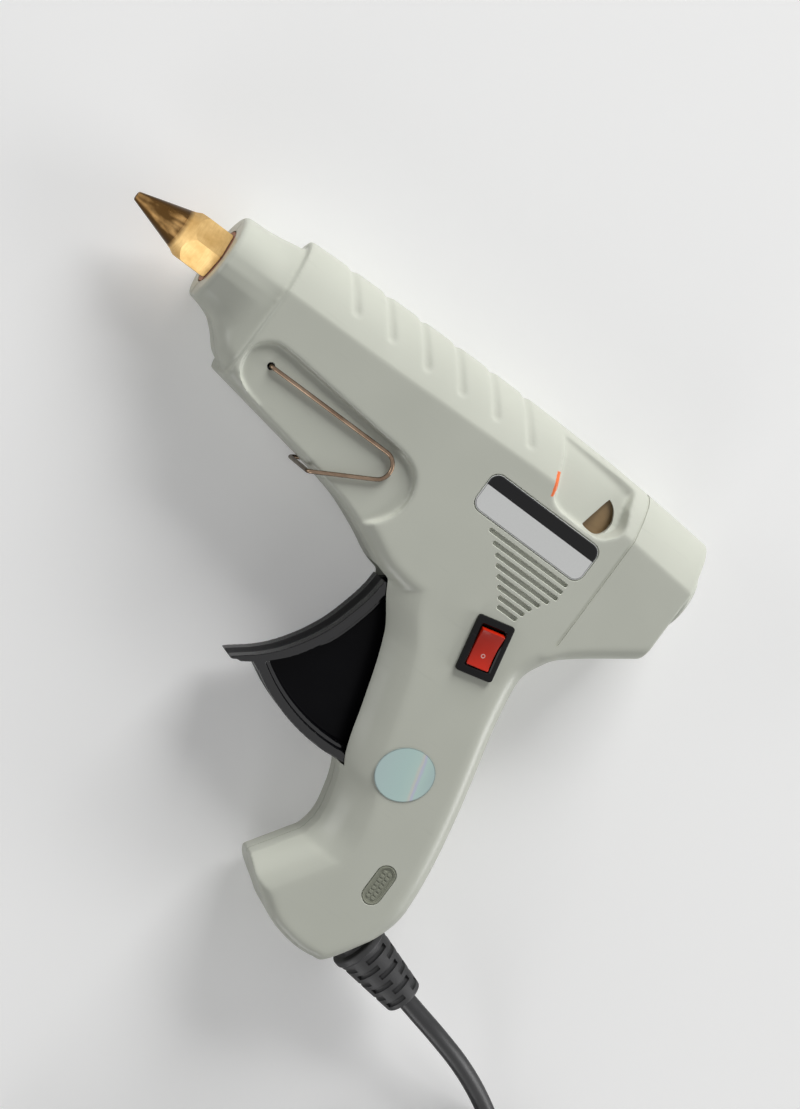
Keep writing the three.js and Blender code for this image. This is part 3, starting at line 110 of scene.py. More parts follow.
class NodeMaker:
    def __init__(self, tree):
        self.tree = tree

    def node(self, kind, settings=None, inputs=None, output=0):
        made = self.tree.nodes.new("ShaderNode" + kind)
        for key, value in (settings or {}).items():
            if key == "stops":
                setStops(made.color_ramp, value)
            else:
                setattr(made, key, value)
        for key, value in (inputs or {}).items():
            self.feed(made.inputs[key], value)
        return Wire(self, made.outputs[output])

    def feed(self, socket, value):
        if isinstance(value, Wire):
            self.tree.links.new(value.socket, socket)
        else:
            socket.default_value = value

    def maths(self, operation, first, second):
        return self.node("Math", {"operation": operation}, {0: first, 1: second})

    def clamp(self, value):
        return self.node("Clamp", None, {0: value})


class Paint(NodeMaker):
    def __init__(self, name, **fixed):
        self.material = bpy.data.materials.new(name)
        self.material.use_nodes = True
        super().__init__(self.material.node_tree)
        self.shader = self.tree.nodes["Principled BSDF"]
        for socket, value in fixed.items():
            self.shader.inputs[socket.replace("_", " ")].default_value = value
        self.spotVector = None

    def mix(self, share, first, second):
        first, second = ((*c, 1) if isinstance(c, tuple) else c for c in (first, second))
        return self.node("Mix", {"data_type": "RGBA"}, {0: share, 6: first, 7: second}, 2)

    def place(self):
        if self.spotVector is None:
            here = self.node("TexCoord", output="Object")
            scale, shift = frameSpot["perMetre"], tuple(frameSpot[axis] for axis in "xyz")
            scaled = self.node("VectorMath", {"operation": "SCALE"}, {0: here, "Scale": scale})
            self.spotVector = self.node("VectorMath", {"operation": "ADD"}, {0: scaled, 1: shift})
        return self.spotVector

    def axes(self):
        apart = self.node("SeparateXYZ", None, {0: self.place()})
        return [Wire(self, output) for output in apart.socket.node.outputs]

    def noise(self, perMillimetre, detail=3, rough=0.55, stretch=None):
        where = self.place()
        if stretch:
            where = self.node("VectorMath", {"operation": "MULTIPLY"}, {0: where, 1: stretch})
        return self.node("TexNoise", None, {"Vector": where, "Scale": perMillimetre, "Detail": detail,
                                            "Roughness": rough})

    # The axes of something that lies turned at a place
    def turnedAxes(self, place, degrees):
        x, y, z = self.axes()
        dx, dy, turn = x - place["x"], y - place["y"], math.radians(degrees)
        return dx * math.cos(turn) + dy * math.sin(turn), dy * math.cos(turn) - dx * math.sin(turn), z

    def band(self, value, low, high, soft):
        return self.clamp((value - low) / soft) * self.clamp((high - value) / soft)

    def bump(self, height, strength, depth):
        return self.node("Bump", None, {"Height": height, "Strength": strength, "Distance": depth})

    def finish(self, **sockets):
        for socket, value in sockets.items():
            self.feed(self.shader.inputs[socket.replace("_", " ")], value)
        return self.material


# Meshes: lists of points and faces in millimetres

def makeMesh(name, points, faces):
    mesh = bpy.data.meshes.new(name)
    mesh.from_pydata([tuple(point) for point in points], [], faces)
    mesh.update()
    return mesh


def makeObject(name, mesh):
    made = bpy.data.objects.new(name, mesh)
    scene.collection.objects.link(made)
    return made


def facingOut(mesh):
    total = 0
    mesh.calc_loop_triangles()
    for triangle in mesh.loop_triangles:
        a, b, c = (mesh.vertices[i].co for i in triangle.vertices)
        total += a.dot(b.cross(c))
    if total < 0:
        mesh.flip_normals()
    return mesh


def loft(name, rings, closed=False):
    count = len(rings[0])
    points = [point for ring in rings for point in ring]
    faces = []
    for low in range(len(rings) if closed else len(rings) - 1):
        high = (low + 1) % len(rings)
        for i in range(count):
            j = (i + 1) % count
            faces.append((low * count + i, low * count + j, high * count + j, high * count + i))
    if not closed:
        last = (len(rings) - 1) * count
        faces.append(tuple(reversed(range(count))))
        faces.append(tuple(range(last, last + count)))
    return makeObject(name, facingOut(makeMesh(name, points, faces)))


# Outlines stacked along z
def stack(name, levels):
    return loft(name, [[(x, y, z) for x, y in outline] for outline, z in levels])


def prism(name, outline, low, high):
    return stack(name, [(outline, low), (outline, high)])


# A prism whose edge opens outward where it meets the surface
def flared(name, outline, low, surface, flare, rise=3):
    wide = grown(outline, flare)
    return stack(name, [(outline, low), (outline, surface - flare), (wide, surface), (wide, surface + rise)])


def block(name, x0, x1, y0, y1, z0, z1):
    return prism(name, [(x0, y0), (x1, y0), (x1, y1), (x0, y1)], z0, z1)


def bar(name, x, y, radius, low, high, sides=32):
    return prism(name, circle(x, y, radius, sides), low, high)


# Turned on the stick's axis; the profile's points are x, radius, and a closed profile makes a tube
def turned(name, profile, sides=64):
    angles = [2 * math.pi * i / sides for i in range(sides)]
    rings = [[(x, max(radius, 1e-3) * math.cos(a), max(radius, 1e-3) * math.sin(a)) for a in angles]
             for x, radius in profile]
    endsOnAxis = profile[0][1] == 0 and profile[-1][1] == 0
    return loft(name, rings, closed=not endsOnAxis)


def sweep(name, path, radius, sides=16):
    rings = []
    path = [Vector(point) for point in path]
    up = None
    for i, point in enumerate(path):
        ahead = path[min(i + 1, len(path) - 1)] - point
        behind = point - path[max(i - 1, 0)]
        along = (ahead.normalized() + behind.normalized()).normalized()
        if up is None:
            up = Vector((0, 0, 1)) if abs(along.z) < 0.9 else Vector((1, 0, 0))
        across = along.cross(up).normalized()
        up = across.cross(along).normalized()
        rings.append([point + across * radius * math.cos(2 * math.pi * k / sides)
                      + up * radius * math.sin(2 * math.pi * k / sides) for k in range(sides)])
    return loft(name, rings)


def arc(x, y, radius, start, end, steps):
    return [(x + radius * math.cos(start + (end - start) * i / steps),
             y + radius * math.sin(start + (end - start) * i / steps)) for i in range(steps + 1)]


def circle(x, y, radius, sides):
    return arc(x, y, radius, 0, 2 * math.pi, sides)[:-1]


def roundedBox(x, y, length, height, corner, steps=8):
    along, up, quarter = length / 2 - corner, height / 2 - corner, math.pi / 2
    points = []
    for i, (dx, dy) in enumerate([(along, up), (-along, up), (-along, -up), (along, -up)]):
        points += arc(x + dx, y + dy, corner, i * quarter, (i + 1) * quarter, steps)
    return tidyLine(points)


# A closed line without points that lie on the one before
def tidyLine(points, least=1e-4):
    line = []
    for point in points:
        if not line or math.dist(point, line[-1]) > least:
            line.append(point)
    if math.dist(line[0], line[-1]) <= least:
        line.pop()
    return line


# Points moved along their normals; outlines run counterclockwise
def grown(points, distance):
    line = []
    for i, (x, y) in enumerate(points):
        px, py = points[i - 1]
        nx, ny = points[(i + 1) % len(points)]
        before = Vector((y - py, px - x)).normalized()
        after = Vector((ny - y, x - nx)).normalized()
        push = (before + after).normalized()
        reach = distance / max(push.dot(after), 0.3)
        line.append((x + push.x * reach, y + push.y * reach))
    return line


# Corners of an open line, rounded
def roundCorners(profile, radius, steps=4):
    line = [profile[0]]
    for before, corner, after in zip(profile, profile[1:], profile[2:]):
        a, b, c = Vector(before), Vector(corner), Vector(after)
        r = min(radius, (a - b).length * 0.45, (c - b).length * 0.45)
        start, end = b + (a - b).normalized() * r, b + (c - b).normalized() * r
        for i in range(steps + 1):
            t = i / steps
            line.append(tuple(start * (1 - t) ** 2 + b * 2 * t * (1 - t) + end * t * t))
    return line + [profile[-1]]


def roundLoop(points, radius):
    return roundCorners([*points, points[0], points[1]], radius)[1:-1]


# A smooth line through points, closed or open, in as many dimensions as the points have
def through(points, steps, closed=False):
    count = len(points)
    line = []
    for s in range(count if closed else count - 1):
        places = [(s + k) % count if closed else min(max(s + k, 0), count - 1) for k in (-1, 0, 1, 2)]
        a, b, c, d = (Vector(points[place]) for place in places)
        for i in range(steps):
            t = i / steps
            line.append(tuple(0.5 * (2 * b + (c - a) * t + (2 * a - 5 * b + 4 * c - d) * t * t
                                     + (3 * b - a - 3 * c + d) * t ** 3)))
    return line if closed else line + [tuple(points[-1])]


# A table of rows read at any value of its first column, smooth and without overshoot
def smoothTable(rows, steps):
    columns = list(zip(*rows))
    xs = columns[0]
    slopes = []
    for column in columns[1:]:
        chords = [(column[i + 1] - column[i]) / (xs[i + 1] - xs[i]) for i in range(len(xs) - 1)]
        inner = [0 if a * b <= 0 else 2 * a * b / (a + b) for a, b in zip(chords, chords[1:])]
        slopes.append([chords[0], *inner, chords[-1]])
    table = []
    for i in range(len(xs) - 1):
        width = xs[i + 1] - xs[i]
        for k in range(steps if i < len(xs) - 2 else steps + 1):
            t = k / steps
            row = [xs[i] + width * t]
            for column, slope in zip(columns[1:], slopes):
                a, b = column[i], column[i + 1]
                row.append(a * (1 + 2 * t) * (1 - t) ** 2 + b * t * t * (3 - 2 * t)
                           + width * (slope[i] * t * (1 - t) ** 2 - slope[i + 1] * t * t * (1 - t)))
            table.append(row)
    return table


# Boolean work: tools are used up and removed

def applied(piece):
    bpy.context.view_layer.update()
    changed = piece.evaluated_get(bpy.context.evaluated_depsgraph_get())
    mesh = bpy.data.meshes.new_from_object(changed)
    piece.modifiers.clear()
    old, piece.data = piece.data, mesh
    bpy.data.meshes.remove(old)
    return piece


def joined(piece, operation, *tools):
    for tool in tools:
        change = piece.modifiers.new("join", "BOOLEAN")
        change.operation = operation
        change.solver = "MANIFOLD"
        change.object = tool
    applied(piece)
    for tool in tools:
        bpy.data.objects.remove(tool)
    return piece


def cut(piece, *tools):
    return joined(piece, "DIFFERENCE", *tools)


def add(piece, *tools):
    return joined(piece, "UNION", *tools)


def common(piece, *tools):
    return joined(piece, "INTERSECT", *tools)


def twin(piece):
    made = piece.copy()
    made.data = piece.data.copy()
    scene.collection.objects.link(made)
    return made


def flipped(piece):
    made = twin(piece)
    made.data.transform(Matrix.Scale(-1, 4, (0, 0, 1)))
    made.data.flip_normals()
    return made


def moved(piece, matrix):
    piece.data.transform(matrix)
    return piece


def softened(piece, voxel, rounds):
    remesh = piece.modifiers.new("remesh", "REMESH")
    remesh.mode = "VOXEL"
    remesh.voxel_size = voxel
    smooth = piece.modifiers.new("smooth", "SMOOTH")
    smooth.factor = 0.5
    smooth.iterations = rounds
    return applied(piece)


def shaded(piece, degrees=32):
    for polygon in piece.data.polygons:
        polygon.use_smooth = True
    piece.data.set_sharp_from_angle(angle=math.radians(degrees))
    return piece


def bevelled(piece, width, segments, degrees):
    edge = piece.modifiers.new("edge", "BEVEL")
    edge.width = width
    edge.segments = segments
    edge.limit_method = "ANGLE"
    edge.angle_limit = math.radians(degrees)
    edge.use_clamp_overlap = True
    return applied(piece)


def kept(piece, material, body, slotName, *nodes, degrees=32):
    shaded(piece, degrees)
    piece.data.transform(toMetres)
    piece.data.materials.clear()
    piece.data.materials.append(material)
    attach(piece, body)
    if nodes:
        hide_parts(*nodes)
    return piece


# Materials of the gun

plasticLook = {"light": (0.575, 0.59, 0.515), "shade": (0.53, 0.545, 0.475), "roughness": 0.3, "grain": 2.2,
               "grainDepth": 0.00002, "speck": (0.40, 0.42, 0.37), "scuff": (0.34, 0.35, 0.31),
               "mark": (0.93, 0.165, 0.02), "markWidth": 1.0, "markStart": (136.8, 9.1),
               "markEnd": (138.5, 2.1), "markLow": 7}


# Share of a painted mark that narrows from its start to its end, on the near half's top only
def markShare(paint, look):
    x, y, z = paint.axes()
    (ax, ay), (bx, by) = look["markStart"], look["markEnd"]
    length = math.dist((ax, ay), (bx, by))
    ux, uy = (bx - ax) / length, (by - ay) / length
    along = (x - ax) * ux + (y - ay) * uy
    ragged = (paint.noise(1.3, 2) - 0.5) * 0.5
    across = abs((x - ax) * uy - (y - ay) * ux + ragged * 0.6)
    inside = paint.clamp((look["markWidth"] * (1 - along * 0.6 / length) - across) / 0.12)
    return paint.band(along + ragged, 0, length, 0.2) * inside * (z > look["markLow"]) * 0.93


def casePlastic(name, marked):
    look = plasticLook
    paint = Paint(name, IOR=1.5, Specular_IOR_Level=0.5)
    cloud = paint.noise(0.035, 2)
    speck = paint.noise(3.1, 2, 0.7)
    colour = paint.mix(paint.clamp(cloud * 2 - 0.5), look["light"], look["shade"])
    colour = paint.mix(paint.clamp((speck - 0.66) * 3) * 0.35, colour, look["speck"])
    scuff = paint.clamp((paint.noise(0.5, 4, 0.6, (0.15, 1.6, 1)) - 0.62) * 6)
    colour = paint.mix(scuff * 0.10, colour, look["scuff"])
    if marked:
        colour = paint.mix(markShare(paint, look), colour, look["mark"])
    height = paint.noise(look["grain"], 3) * 0.6 + paint.noise(0.3, 2) * 0.8
    normal = paint.bump(height, 0.35, look["grainDepth"])
    rough = look["roughness"] + (cloud - 0.5) * 0.10 + scuff * 0.14
    return paint.finish(Base_Color=colour, Roughness=rough, Normal=normal)


# Cloud, grain and rubbed places that moulded plastics share, with the colour that they make
def moulded(paint, light, shade, grain, rubShare, rubColour):
    cloud = paint.noise(0.12, 3)
    fine = paint.noise(grain, 3, 0.6)
    rub = paint.clamp((paint.noise(0.45, 4, 0.65, (0.3, 1.4, 1)) - 0.6) * 5)
    colour = paint.mix(paint.clamp(cloud * 1.8 - 0.4), light, shade)
    return fine, rub, paint.mix(rub * rubShare, colour, rubColour), fine + cloud * 0.4


def dullPlastic(name, light, shade, roughness, grain=2.5, depth=0.00003, shine=0.5):
    paint = Paint(name, IOR=1.5, Coat_Roughness=0.12, Specular_IOR_Level=shine)
    rubbed = tuple(min(1, c * 1.8 + 0.02) for c in light)
    fine, rub, colour, height = moulded(paint, light, shade, grain, 0.16, rubbed)
    rough = roughness + (fine - 0.5) * 0.16 + rub * 0.1
    return paint.finish(Base_Color=colour, Roughness=rough, Normal=paint.bump(height, 0.45, depth))


def bareMetal(name, light, shade, roughness, turnedMarks=0.0, streak=(1, 1, 1), depth=0.00001):
    paint = Paint(name, Metallic=1.0)
    tarnish = paint.clamp(paint.noise(0.16, 4, 0.6) * 2.2 - 0.7)
    line = paint.noise(1.6, 3, 0.6, streak)
    colour = paint.mix(tarnish, light, shade)
    colour = paint.mix(paint.clamp(line - 0.45), colour, tuple(c * 0.62 for c in shade))
    height = line
    if turnedMarks:
        rings = paint.node("TexWave", {"wave_type": "BANDS", "bands_direction": "X"},
                           {"Vector": paint.place(), "Scale": turnedMarks, "Distortion": 0.6, "Detail": 2}, 1)
        height = rings * 0.7 + line * 0.4
    normal = paint.bump(height, 0.4, depth)
    rough = roughness + (tarnish - 0.4) * 0.12 + (line - 0.5) * 0.12
    return paint.finish(Base_Color=colour, Roughness=rough, Normal=normal)


# The cone's copper tint and burnt patches are partly heat tarnish and partly a painted dark reflection
brassLook = {"light": (0.93, 0.66, 0.30), "shade": (0.68, 0.42, 0.15), "burntWithDarkReflection": (0.07, 0.032, 0.008),
             "coneTintWithDarkReflection": (0.52, 0.24, 0.075), "coneEnd": 15.2, "roughness": 0.24}


def nozzleBrass():
    look = brassLook
    paint = Paint("turned nozzle brass", Metallic=1.0)
    x = paint.axes()[0]
    cloud = paint.noise(0.22, 4, 0.6)
    line = paint.noise(2.2, 3, 0.6, (1.6, 0.12, 0.12))
    cone = paint.clamp((look["coneEnd"] - x) / 1.4)
    colour = paint.mix(paint.clamp(cloud * 2.4 - 0.8), look["light"], look["shade"])
    colour = paint.mix(paint.clamp((line - 0.42) * 2.5) * 0.5, colour, look["shade"])
    # Painted dark reflection with heat tarnish: the cone is tinted and darkened in patches
    streak = paint.noise(0.3, 2, 0.5, (0.12, 1, 1))
    burntWithDarkReflection = cone * paint.clamp(streak * 5 - 1.6 + (cloud - 0.5))
    colour = paint.mix(cone * 0.5, colour, look["coneTintWithDarkReflection"])
    colour = paint.mix(burntWithDarkReflection * 0.92, colour, look["burntWithDarkReflection"])
    normal = paint.bump(line, 0.5, 0.00003)
    rough = look["roughness"] + 0.26 * (1 - cone) + (line - 0.5) * 0.14 + (cloud - 0.5) * 0.1
    return paint.finish(Base_Color=colour, Roughness=rough, Normal=normal)


# Deep black web; only the flanges beside it, further out along z, have a polished face
triggerLook = {"light": (0.0022, 0.0022, 0.003), "shade": (0.004, 0.004, 0.005), "rub": (0.02, 0.02, 0.02),
               "flangeFoot": 2.6}


def triggerBlack():
    look = triggerLook
    paint = Paint("black trigger plastic", IOR=1.5, Specular_IOR_Level=0.06, Coat_Roughness=0.1, Coat_IOR=1.5)
    fine, _, colour, height = moulded(paint, look["light"], look["shade"], 2, 0.12, look["rub"])
    polished = paint.clamp((abs(paint.axes()[2]) - look["flangeFoot"]) / 0.8)
    return paint.finish(Base_Color=colour, Roughness=0.3 + fine * 0.1, Coat_Weight=polished * 0.9,
                        Normal=paint.bump(height, 0.45, 0.00002))


paints = {
    "caseLeft": casePlastic("pale case plastic, marked", True),
    "caseRight": casePlastic("pale case plastic", False),
    "collar": dullPlastic("pale ring plastic", (0.56, 0.58, 0.51), (0.50, 0.52, 0.46), 0.34),
    "black": dullPlastic("black moulded plastic", (0.004, 0.004, 0.0045), (0.007, 0.007, 0.0075), 0.24, 2.0,
                         0.00002, shine=0.16),
    "trigger": triggerBlack(),
    "carriage": dullPlastic("black carriage plastic", (0.02, 0.02, 0.022), (0.03, 0.03, 0.032), 0.45),
    "guide": dullPlastic("brown guide plastic", (0.36, 0.25, 0.13), (0.25, 0.165, 0.08), 0.4),
    "boot": dullPlastic("black boot rubber", (0.014, 0.014, 0.015), (0.022, 0.022, 0.023), 0.5, 3.2, 0.00005),
    "cord": dullPlastic("black cord sheath", (0.012, 0.012, 0.013), (0.019, 0.019, 0.02), 0.42, 2.4, 0.00004),
    "silicone": dullPlastic("red silicone", (0.35, 0.05, 0.03), (0.27, 0.04, 0.02), 0.5),
    "gasket": dullPlastic("heat gasket fibre", (0.48, 0.26, 0.19), (0.38, 0.2, 0.15), 0.75, 3.5, 0.00008),
    "heater": dullPlastic("amber heater film", (0.50, 0.17, 0.03), (0.38, 0.12, 0.02), 0.3),
    "insert": dullPlastic("grey green insert", (0.27, 0.28, 0.22), (0.22, 0.23, 0.18), 0.42, 2.6, 0.00004),
    "leadRed": dullPlastic("red lead", (0.32, 0.012, 0.009), (0.25, 0.01, 0.008), 0.4),
    "leadBlue": dullPlastic("blue lead", (0.012, 0.04, 0.24), (0.01, 0.03, 0.19), 0.4),
    "leadWhite": dullPlastic("white lead", (0.68, 0.66, 0.6), (0.6, 0.58, 0.52), 0.4),
    "brass": nozzleBrass(),
    "brassBlade": bareMetal("brass blade", (0.78, 0.58, 0.28), (0.6, 0.42, 0.18), 0.3, 0, (0.2, 2, 1)),
    "aluminium": bareMetal("cast aluminium", (0.56, 0.57, 0.58), (0.42, 0.42, 0.43), 0.5, depth=0.00006),
    "steel": bareMetal("ground steel", (0.62, 0.62, 0.63), (0.48, 0.48, 0.49), 0.26, 3.0),
    "spring": bareMetal("spring steel", (0.52, 0.53, 0.55), (0.36, 0.36, 0.38), 0.3, 0, (0.3, 2, 2)),
    "screw": bareMetal("zinc plated screw", (0.55, 0.55, 0.56), (0.42, 0.42, 0.40), 0.32, 0, (1, 1, 0.3)),
    # Plated steel wire; its dark brown tone is a painted reflection of brown surroundings
    "wire": bareMetal("drawn stand wire, painted brown reflection", (0.29, 0.21, 0.15), (0.12, 0.075, 0.05), 0.14, 0, (0.1, 2, 2)),
}
print("glue gun: materials made")


# Cord: from the boot down to the floor, two layers of a round coil, a short end and the plug

cordSetup = {
    "diameter": 5.5, "turns": 7.375, "pitch": 6.1, "radius": 44, "startAngle": 45, "climb": 0.5,
    "start": (279.28, -181.98), "floor": -11.75, "draw": 0.4, "stepsPerTurn": 72,
    "route": [(197.3, -137.23, 0), (204.8, -139.1, 0), (212.52, -141.03, -0.1), (223.54, -144.3, -2.2),
              (234.22, -148.55, -6.1), (244.48, -153.75, -10), (254.22, -159.86, -11.7),
              (263.37, -166.82, -11.75), (271.86, -174.56, -11.75), (275.17, -177.87, -11.75)],
    "tail": 30, "plugAxis": -2.5, "plugGap": 0.3,
}


# The coil winds inward on the floor for half its turns, then outward on top of them
def cordPath(cord):
    angle0 = math.radians(cord["startAngle"])
    centre = (cord["start"][0] - cord["radius"] * math.cos(angle0),
              cord["start"][1] - cord["radius"] * math.sin(angle0))
    middle = cord["turns"] / 2
    count = round(cord["turns"] * cord["stepsPerTurn"])
    coil = []
    for i in range(count + 1):
        turns = i / cord["stepsPerTurn"]
        angle = angle0 - turns * 2 * math.pi
        fromEnd = min(turns, cord["turns"] - turns)
        radius = cord["radius"] - cord["pitch"] * (middle - abs(middle - turns))
        radius -= cord["draw"] * min(1, fromEnd * 12)
        t = min(1, max(0, (turns - middle + cord["climb"] / 2) / cord["climb"]))
        rise = cord["pitch"] * t * t * (3 - 2 * t)
        coil.append((centre[0] + radius * math.cos(angle), centre[1] + radius * math.sin(angle),
                     cord["floor"] + rise))
    x, y, z = coil[-1]
    axis = cord["plugAxis"]
    straight = x - cord["diameter"]
    entry = straight - cord["tail"]
    tail = [(x, y, z), (straight, y, z), (straight - cord["tail"] / 2, y, (z + axis) / 2),
            (entry + cord["diameter"], y, axis), (entry + cord["plugGap"], y, axis)]
    return through(cord["route"], 8) + coil + through(tail, 8)[1:]


def makeCord():
    path = tidyOpen(cordPath(cordSetup), 0.8)
    cord = sweep("cord", path, cordSetup["diameter"] / 2, 14)
    kept(cord, paints["cord"], "case", "cord_sheath", "cord_lead", "cord_coil", "cord_tail", degrees=60)
    makePlug()


# An open line without points that crowd the one before or its end
def tidyOpen(points, least):
    line = [points[0]]
    for point in points[1:-1]:
        if math.dist(point, line[-1]) > least and math.dist(point, points[-1]) > least:
            line.append(point)
    return line + [points[-1]]


# Plug: ribbed grip, nose with two side springs, sprung pin

plug = {"x": 212.667, "y": -257.093, "z": -2.5, "grip": 46, "radius": 12, "neck": 14, "neckRadius": 4,
        "socket": 7.3, "socketFoot": 37.7, "flutes": 18, "flute": 0.9, "noseRadius": 9.8, "noseBore": 6,
        "noseEnd": 82.3, "mouth": 2.9, "slots": (59, 78.6), "slotHalf": 2.5, "pin": 2.6,
        "pinOut": 5, "leafFoot": 59.3, "leafLength": 19, "leafBow": 2.1, "leafThick": 0.6, "leafHalf": 2.2}
fluteRows = [(22.5, 11.22), (26, 10.92), (32, 11.47), (38, 12.02), (42, 12.47)]


def onPlug(piece):
    place = Matrix.Translation((plug["x"], plug["y"], plug["z"]))
    return moved(piece, place @ Matrix.Rotation(math.pi, 4, "Z"))


def makeGrip():
    end, wide, neck = plug["grip"], plug["radius"], plug["neck"]
    foot, bore = plug["socketFoot"], plug["socket"]
    line = [(0, 0), (0, plug["neckRadius"] - 0.2), (3, plug["neckRadius"]), (neck, 4.9), (neck, 8), (16, 11),
            (23, 10), (end - 2, wide), (end, wide), (end, bore), (foot, bore), (foot, 0)]
    body = turned("plugGrip", roundCorners(line, 0.8), 96)
    flutes = []
    for i in range(plug["flutes"]):
        angle = 2 * math.pi * i / plug["flutes"]
        path = [(x, radius * math.cos(angle), radius * math.sin(angle)) for x, radius in fluteRows]
        flutes.append(sweep("flute", path, plug["flute"], 12))
    return kept(onPlug(cut(body, *flutes)), paints["black"], "case", "black_plastic", "plug_body")


def makeNose():
    end, wide, bore, start = plug["noseEnd"], plug["noseRadius"], plug["noseBore"], plug["grip"] + 0.3
    line = [(38, bore), (38, 7), (start, 7), (start, wide), (50, wide), (50.3, wide - 0.4),
            (51.2, wide - 0.4), (51.5, wide), (end - 2, wide), (end, wide - 2), (end, plug["mouth"]),
            (end - 4, plug["mouth"]), (end - 4, bore)]
    nose = turned("plugNose", roundLoop(line, 0.35), 96)
    half = plug["slotHalf"]
    slots = [block("slot", *plug["slots"], low, high, -half, half) for low, high in ((-12, -7.7), (7.7, 12))]
    return kept(onPlug(cut(nose, *slots)), paints["black"], "case", "black_plastic", "plug_nose")


def makePin():
    end, radius = plug["noseEnd"], plug["pin"]
    tip = end + plug["pinOut"]
    line = [(end - 6.7, 0), (end - 6.7, 4.8), (end - 4.3, 4.8), (end - 4.3, radius)]
    line += [(tip - radius + radius * math.sin(math.radians(a)), radius * math.cos(math.radians(a)))
             for a in range(0, 80, 8)]
    pin = turned("plugPin", [*line, (tip, 0.2), (tip, 0)], 48)
    return kept(onPlug(pin), paints["steel"], "plug_pin", "pin_steel", "plug_pin")


def makeSpring(number, side, steps=24):
    foot, length, bow = plug["leafFoot"], plug["leafLength"], plug["leafBow"]
    line = [(foot + length * k / steps, 8 + bow * math.sin(math.pi * k / steps)) for k in range(steps + 1)]
    line += [(x, y + plug["leafThick"]) for x, y in reversed(line)]
    spring = prism(f"plugSpring{number}", line, -plug["leafHalf"], plug["leafHalf"])
    bevelled(spring, 0.12, 2, 60)
    if side < 0:
        moved(spring, Matrix.Scale(-1, 4, (0, 1, 0)))
        spring.data.flip_normals()
    return kept(onPlug(spring), paints["steel"], "case", "pin_steel", f"plug_contact_{number}")


def makePlug():
    return [makeGrip(), makeNose(), makePin(), makeSpring(1, 1), makeSpring(2, -1)]


makeCord()


# Case: the outer form is skinned, softened and then cut; its rows follow the barrel and the handle

case = {
    "stepX": 45.3, "neckFront": 27, "barrel": 143.5, "half": 14.5, "crown": 20.3, "drop": 140.3, "wall": 2.3,
    "gap": 0.3, "seam": 0.3, "ridge": 7.2, "belly": 5, "neckRadius": 13.3, "stepDepth": 1.3, "neckRim": 0.8,
    "noseHalf": 5.5, "flank": 10, "back": 7, "soleEdge": 3, "recess": 2, "voxel": 0.55, "smoothing": 4,
}
rearX = case["stepX"] + case["barrel"]

# Rows of shares, only the crease's heights are in millimetres: barrel (place along it, top, bottom), crease
# (place, height), neck (place, how far its upper and lower sides have opened), handle (drop, front, back),
# the roundings of its front and back (reach, width), and its sole (place, drop)
barrelRows = [(0, 0.916, 0.178), (0.102, 0.946, 0.195), (0.325, 0.985, 0.236), (0.409, 0.995, 0.268),
              (0.479, 1, 0.3), (0.555, 1, 0.31), (0.73, 0.985, 0.3), (0.827, 0.956, 0.278),
              (0.869, 0.941, 0.236), (1, 0.877, 0.141)]
creaseRows = [(0, 3.6), (0.25, 4.1), (0.6, 5.8), (0.83, 5.8), (1, 3.9)]
neckRows = [(0, 0, 0), (0.05, 0.02, 0.01), (0.37, 0.16, 0.17), (0.56, 0.36, 0.42), (0.76, 0.65, 0.78),
            (1, 1, 1)]
handleRows = [(0.24, 0.465, 0.869), (0.314, 0.493, 0.837), (0.392, 0.545, 0.848), (0.535, 0.596, 0.884),
              (0.599, 0.615, 0.9), (0.641, 0.632, 0.909), (0.67, 0.653, 0.915), (0.713, 0.669, 0.923),
              (0.771, 0.68, 0.931), (0.808, 0.674, 0.934), (0.827, 0.662, 0.935), (0.907, 0.608, 0.918),
              (1.02, 0.53, 0.88)]
noseRows = [(0, 0), (0.18, 0.34), (0.55, 0.73), (1, 0.96), (1.3, 1)]
backRows = [(1, 1), (0.66, 0.96), (0.34, 0.84), (0.1, 0.62), (0, 0.28)]
soleRows = [(0.53, 0.78), (0.608, 0.907), (0.681, 0.966), (0.716, 0.987), (0.771, 1), (0.82, 0.999),
            (0.851, 0.984), (0.921, 0.874), (1.02, 0.72)]


def alongBarrel(share):
    return case["stepX"] + share * case["barrel"]


def belowAxis(share):
    return -share * case["drop"]


def aboveAxis(share):
    return share * case["crown"]


def sideOutline(shares):
    return [(alongBarrel(x), belowAxis(drop)) for x, drop in shares]


# The second column of a table of shares, read between its rows
def readRows(rows, x):
    share = (x - case["stepX"]) / case["barrel"]
    for (x0, y0, *_), (x1, y1, *_) in zip(rows, rows[1:]):
        if share <= x1:
            break
    return y0 + (y1 - y0) * min(1, max(0, (share - x0) / (x1 - x0)))


# Height of the flank's edge, where the roof begins
def creaseAt(x):
    return readRows(creaseRows, x)


def roofTop(x):
    return aboveAxis(readRows(barrelRows, x))


# Upper half of the barrel's section: from the ridge at t = 0 to the flank's edge at t = 1
def roofPoint(x, top, inset, t, drop=0):
    half, edge = case["half"] - inset, creaseAt(x) - inset * 0.3 - drop
    high = top - inset
    return (2 * t * (1 - t) * (case["ridge"] - inset * 0.5) + t * t * half,
            (1 - t * t) * (high - edge) + edge)


def barrelRing(x, top, bottom, inset, fine, edgeDrop=0):
    steps = 18 if fine else 6
    half, low = case["half"] - inset, bottom + inset
    near = [roofPoint(x, top, inset, i / steps, edgeDrop) for i in range(steps + 1)]
    near += [(half, near[-1][1] - share * case["belly"]) for share in (0.7, 1.4, 3)]
    steps = 8 if fine else 2
    for i in range(steps + 1):
        angle = math.pi / 2 * i / steps
        near.append((half - case["belly"] + case["belly"] * math.cos(angle),
                     low + case["belly"] - case["belly"] * math.sin(angle)))
    far = [(-z, y) for z, y in reversed(near[1:])]
    return [(x, y, z) for z, y in near + far]


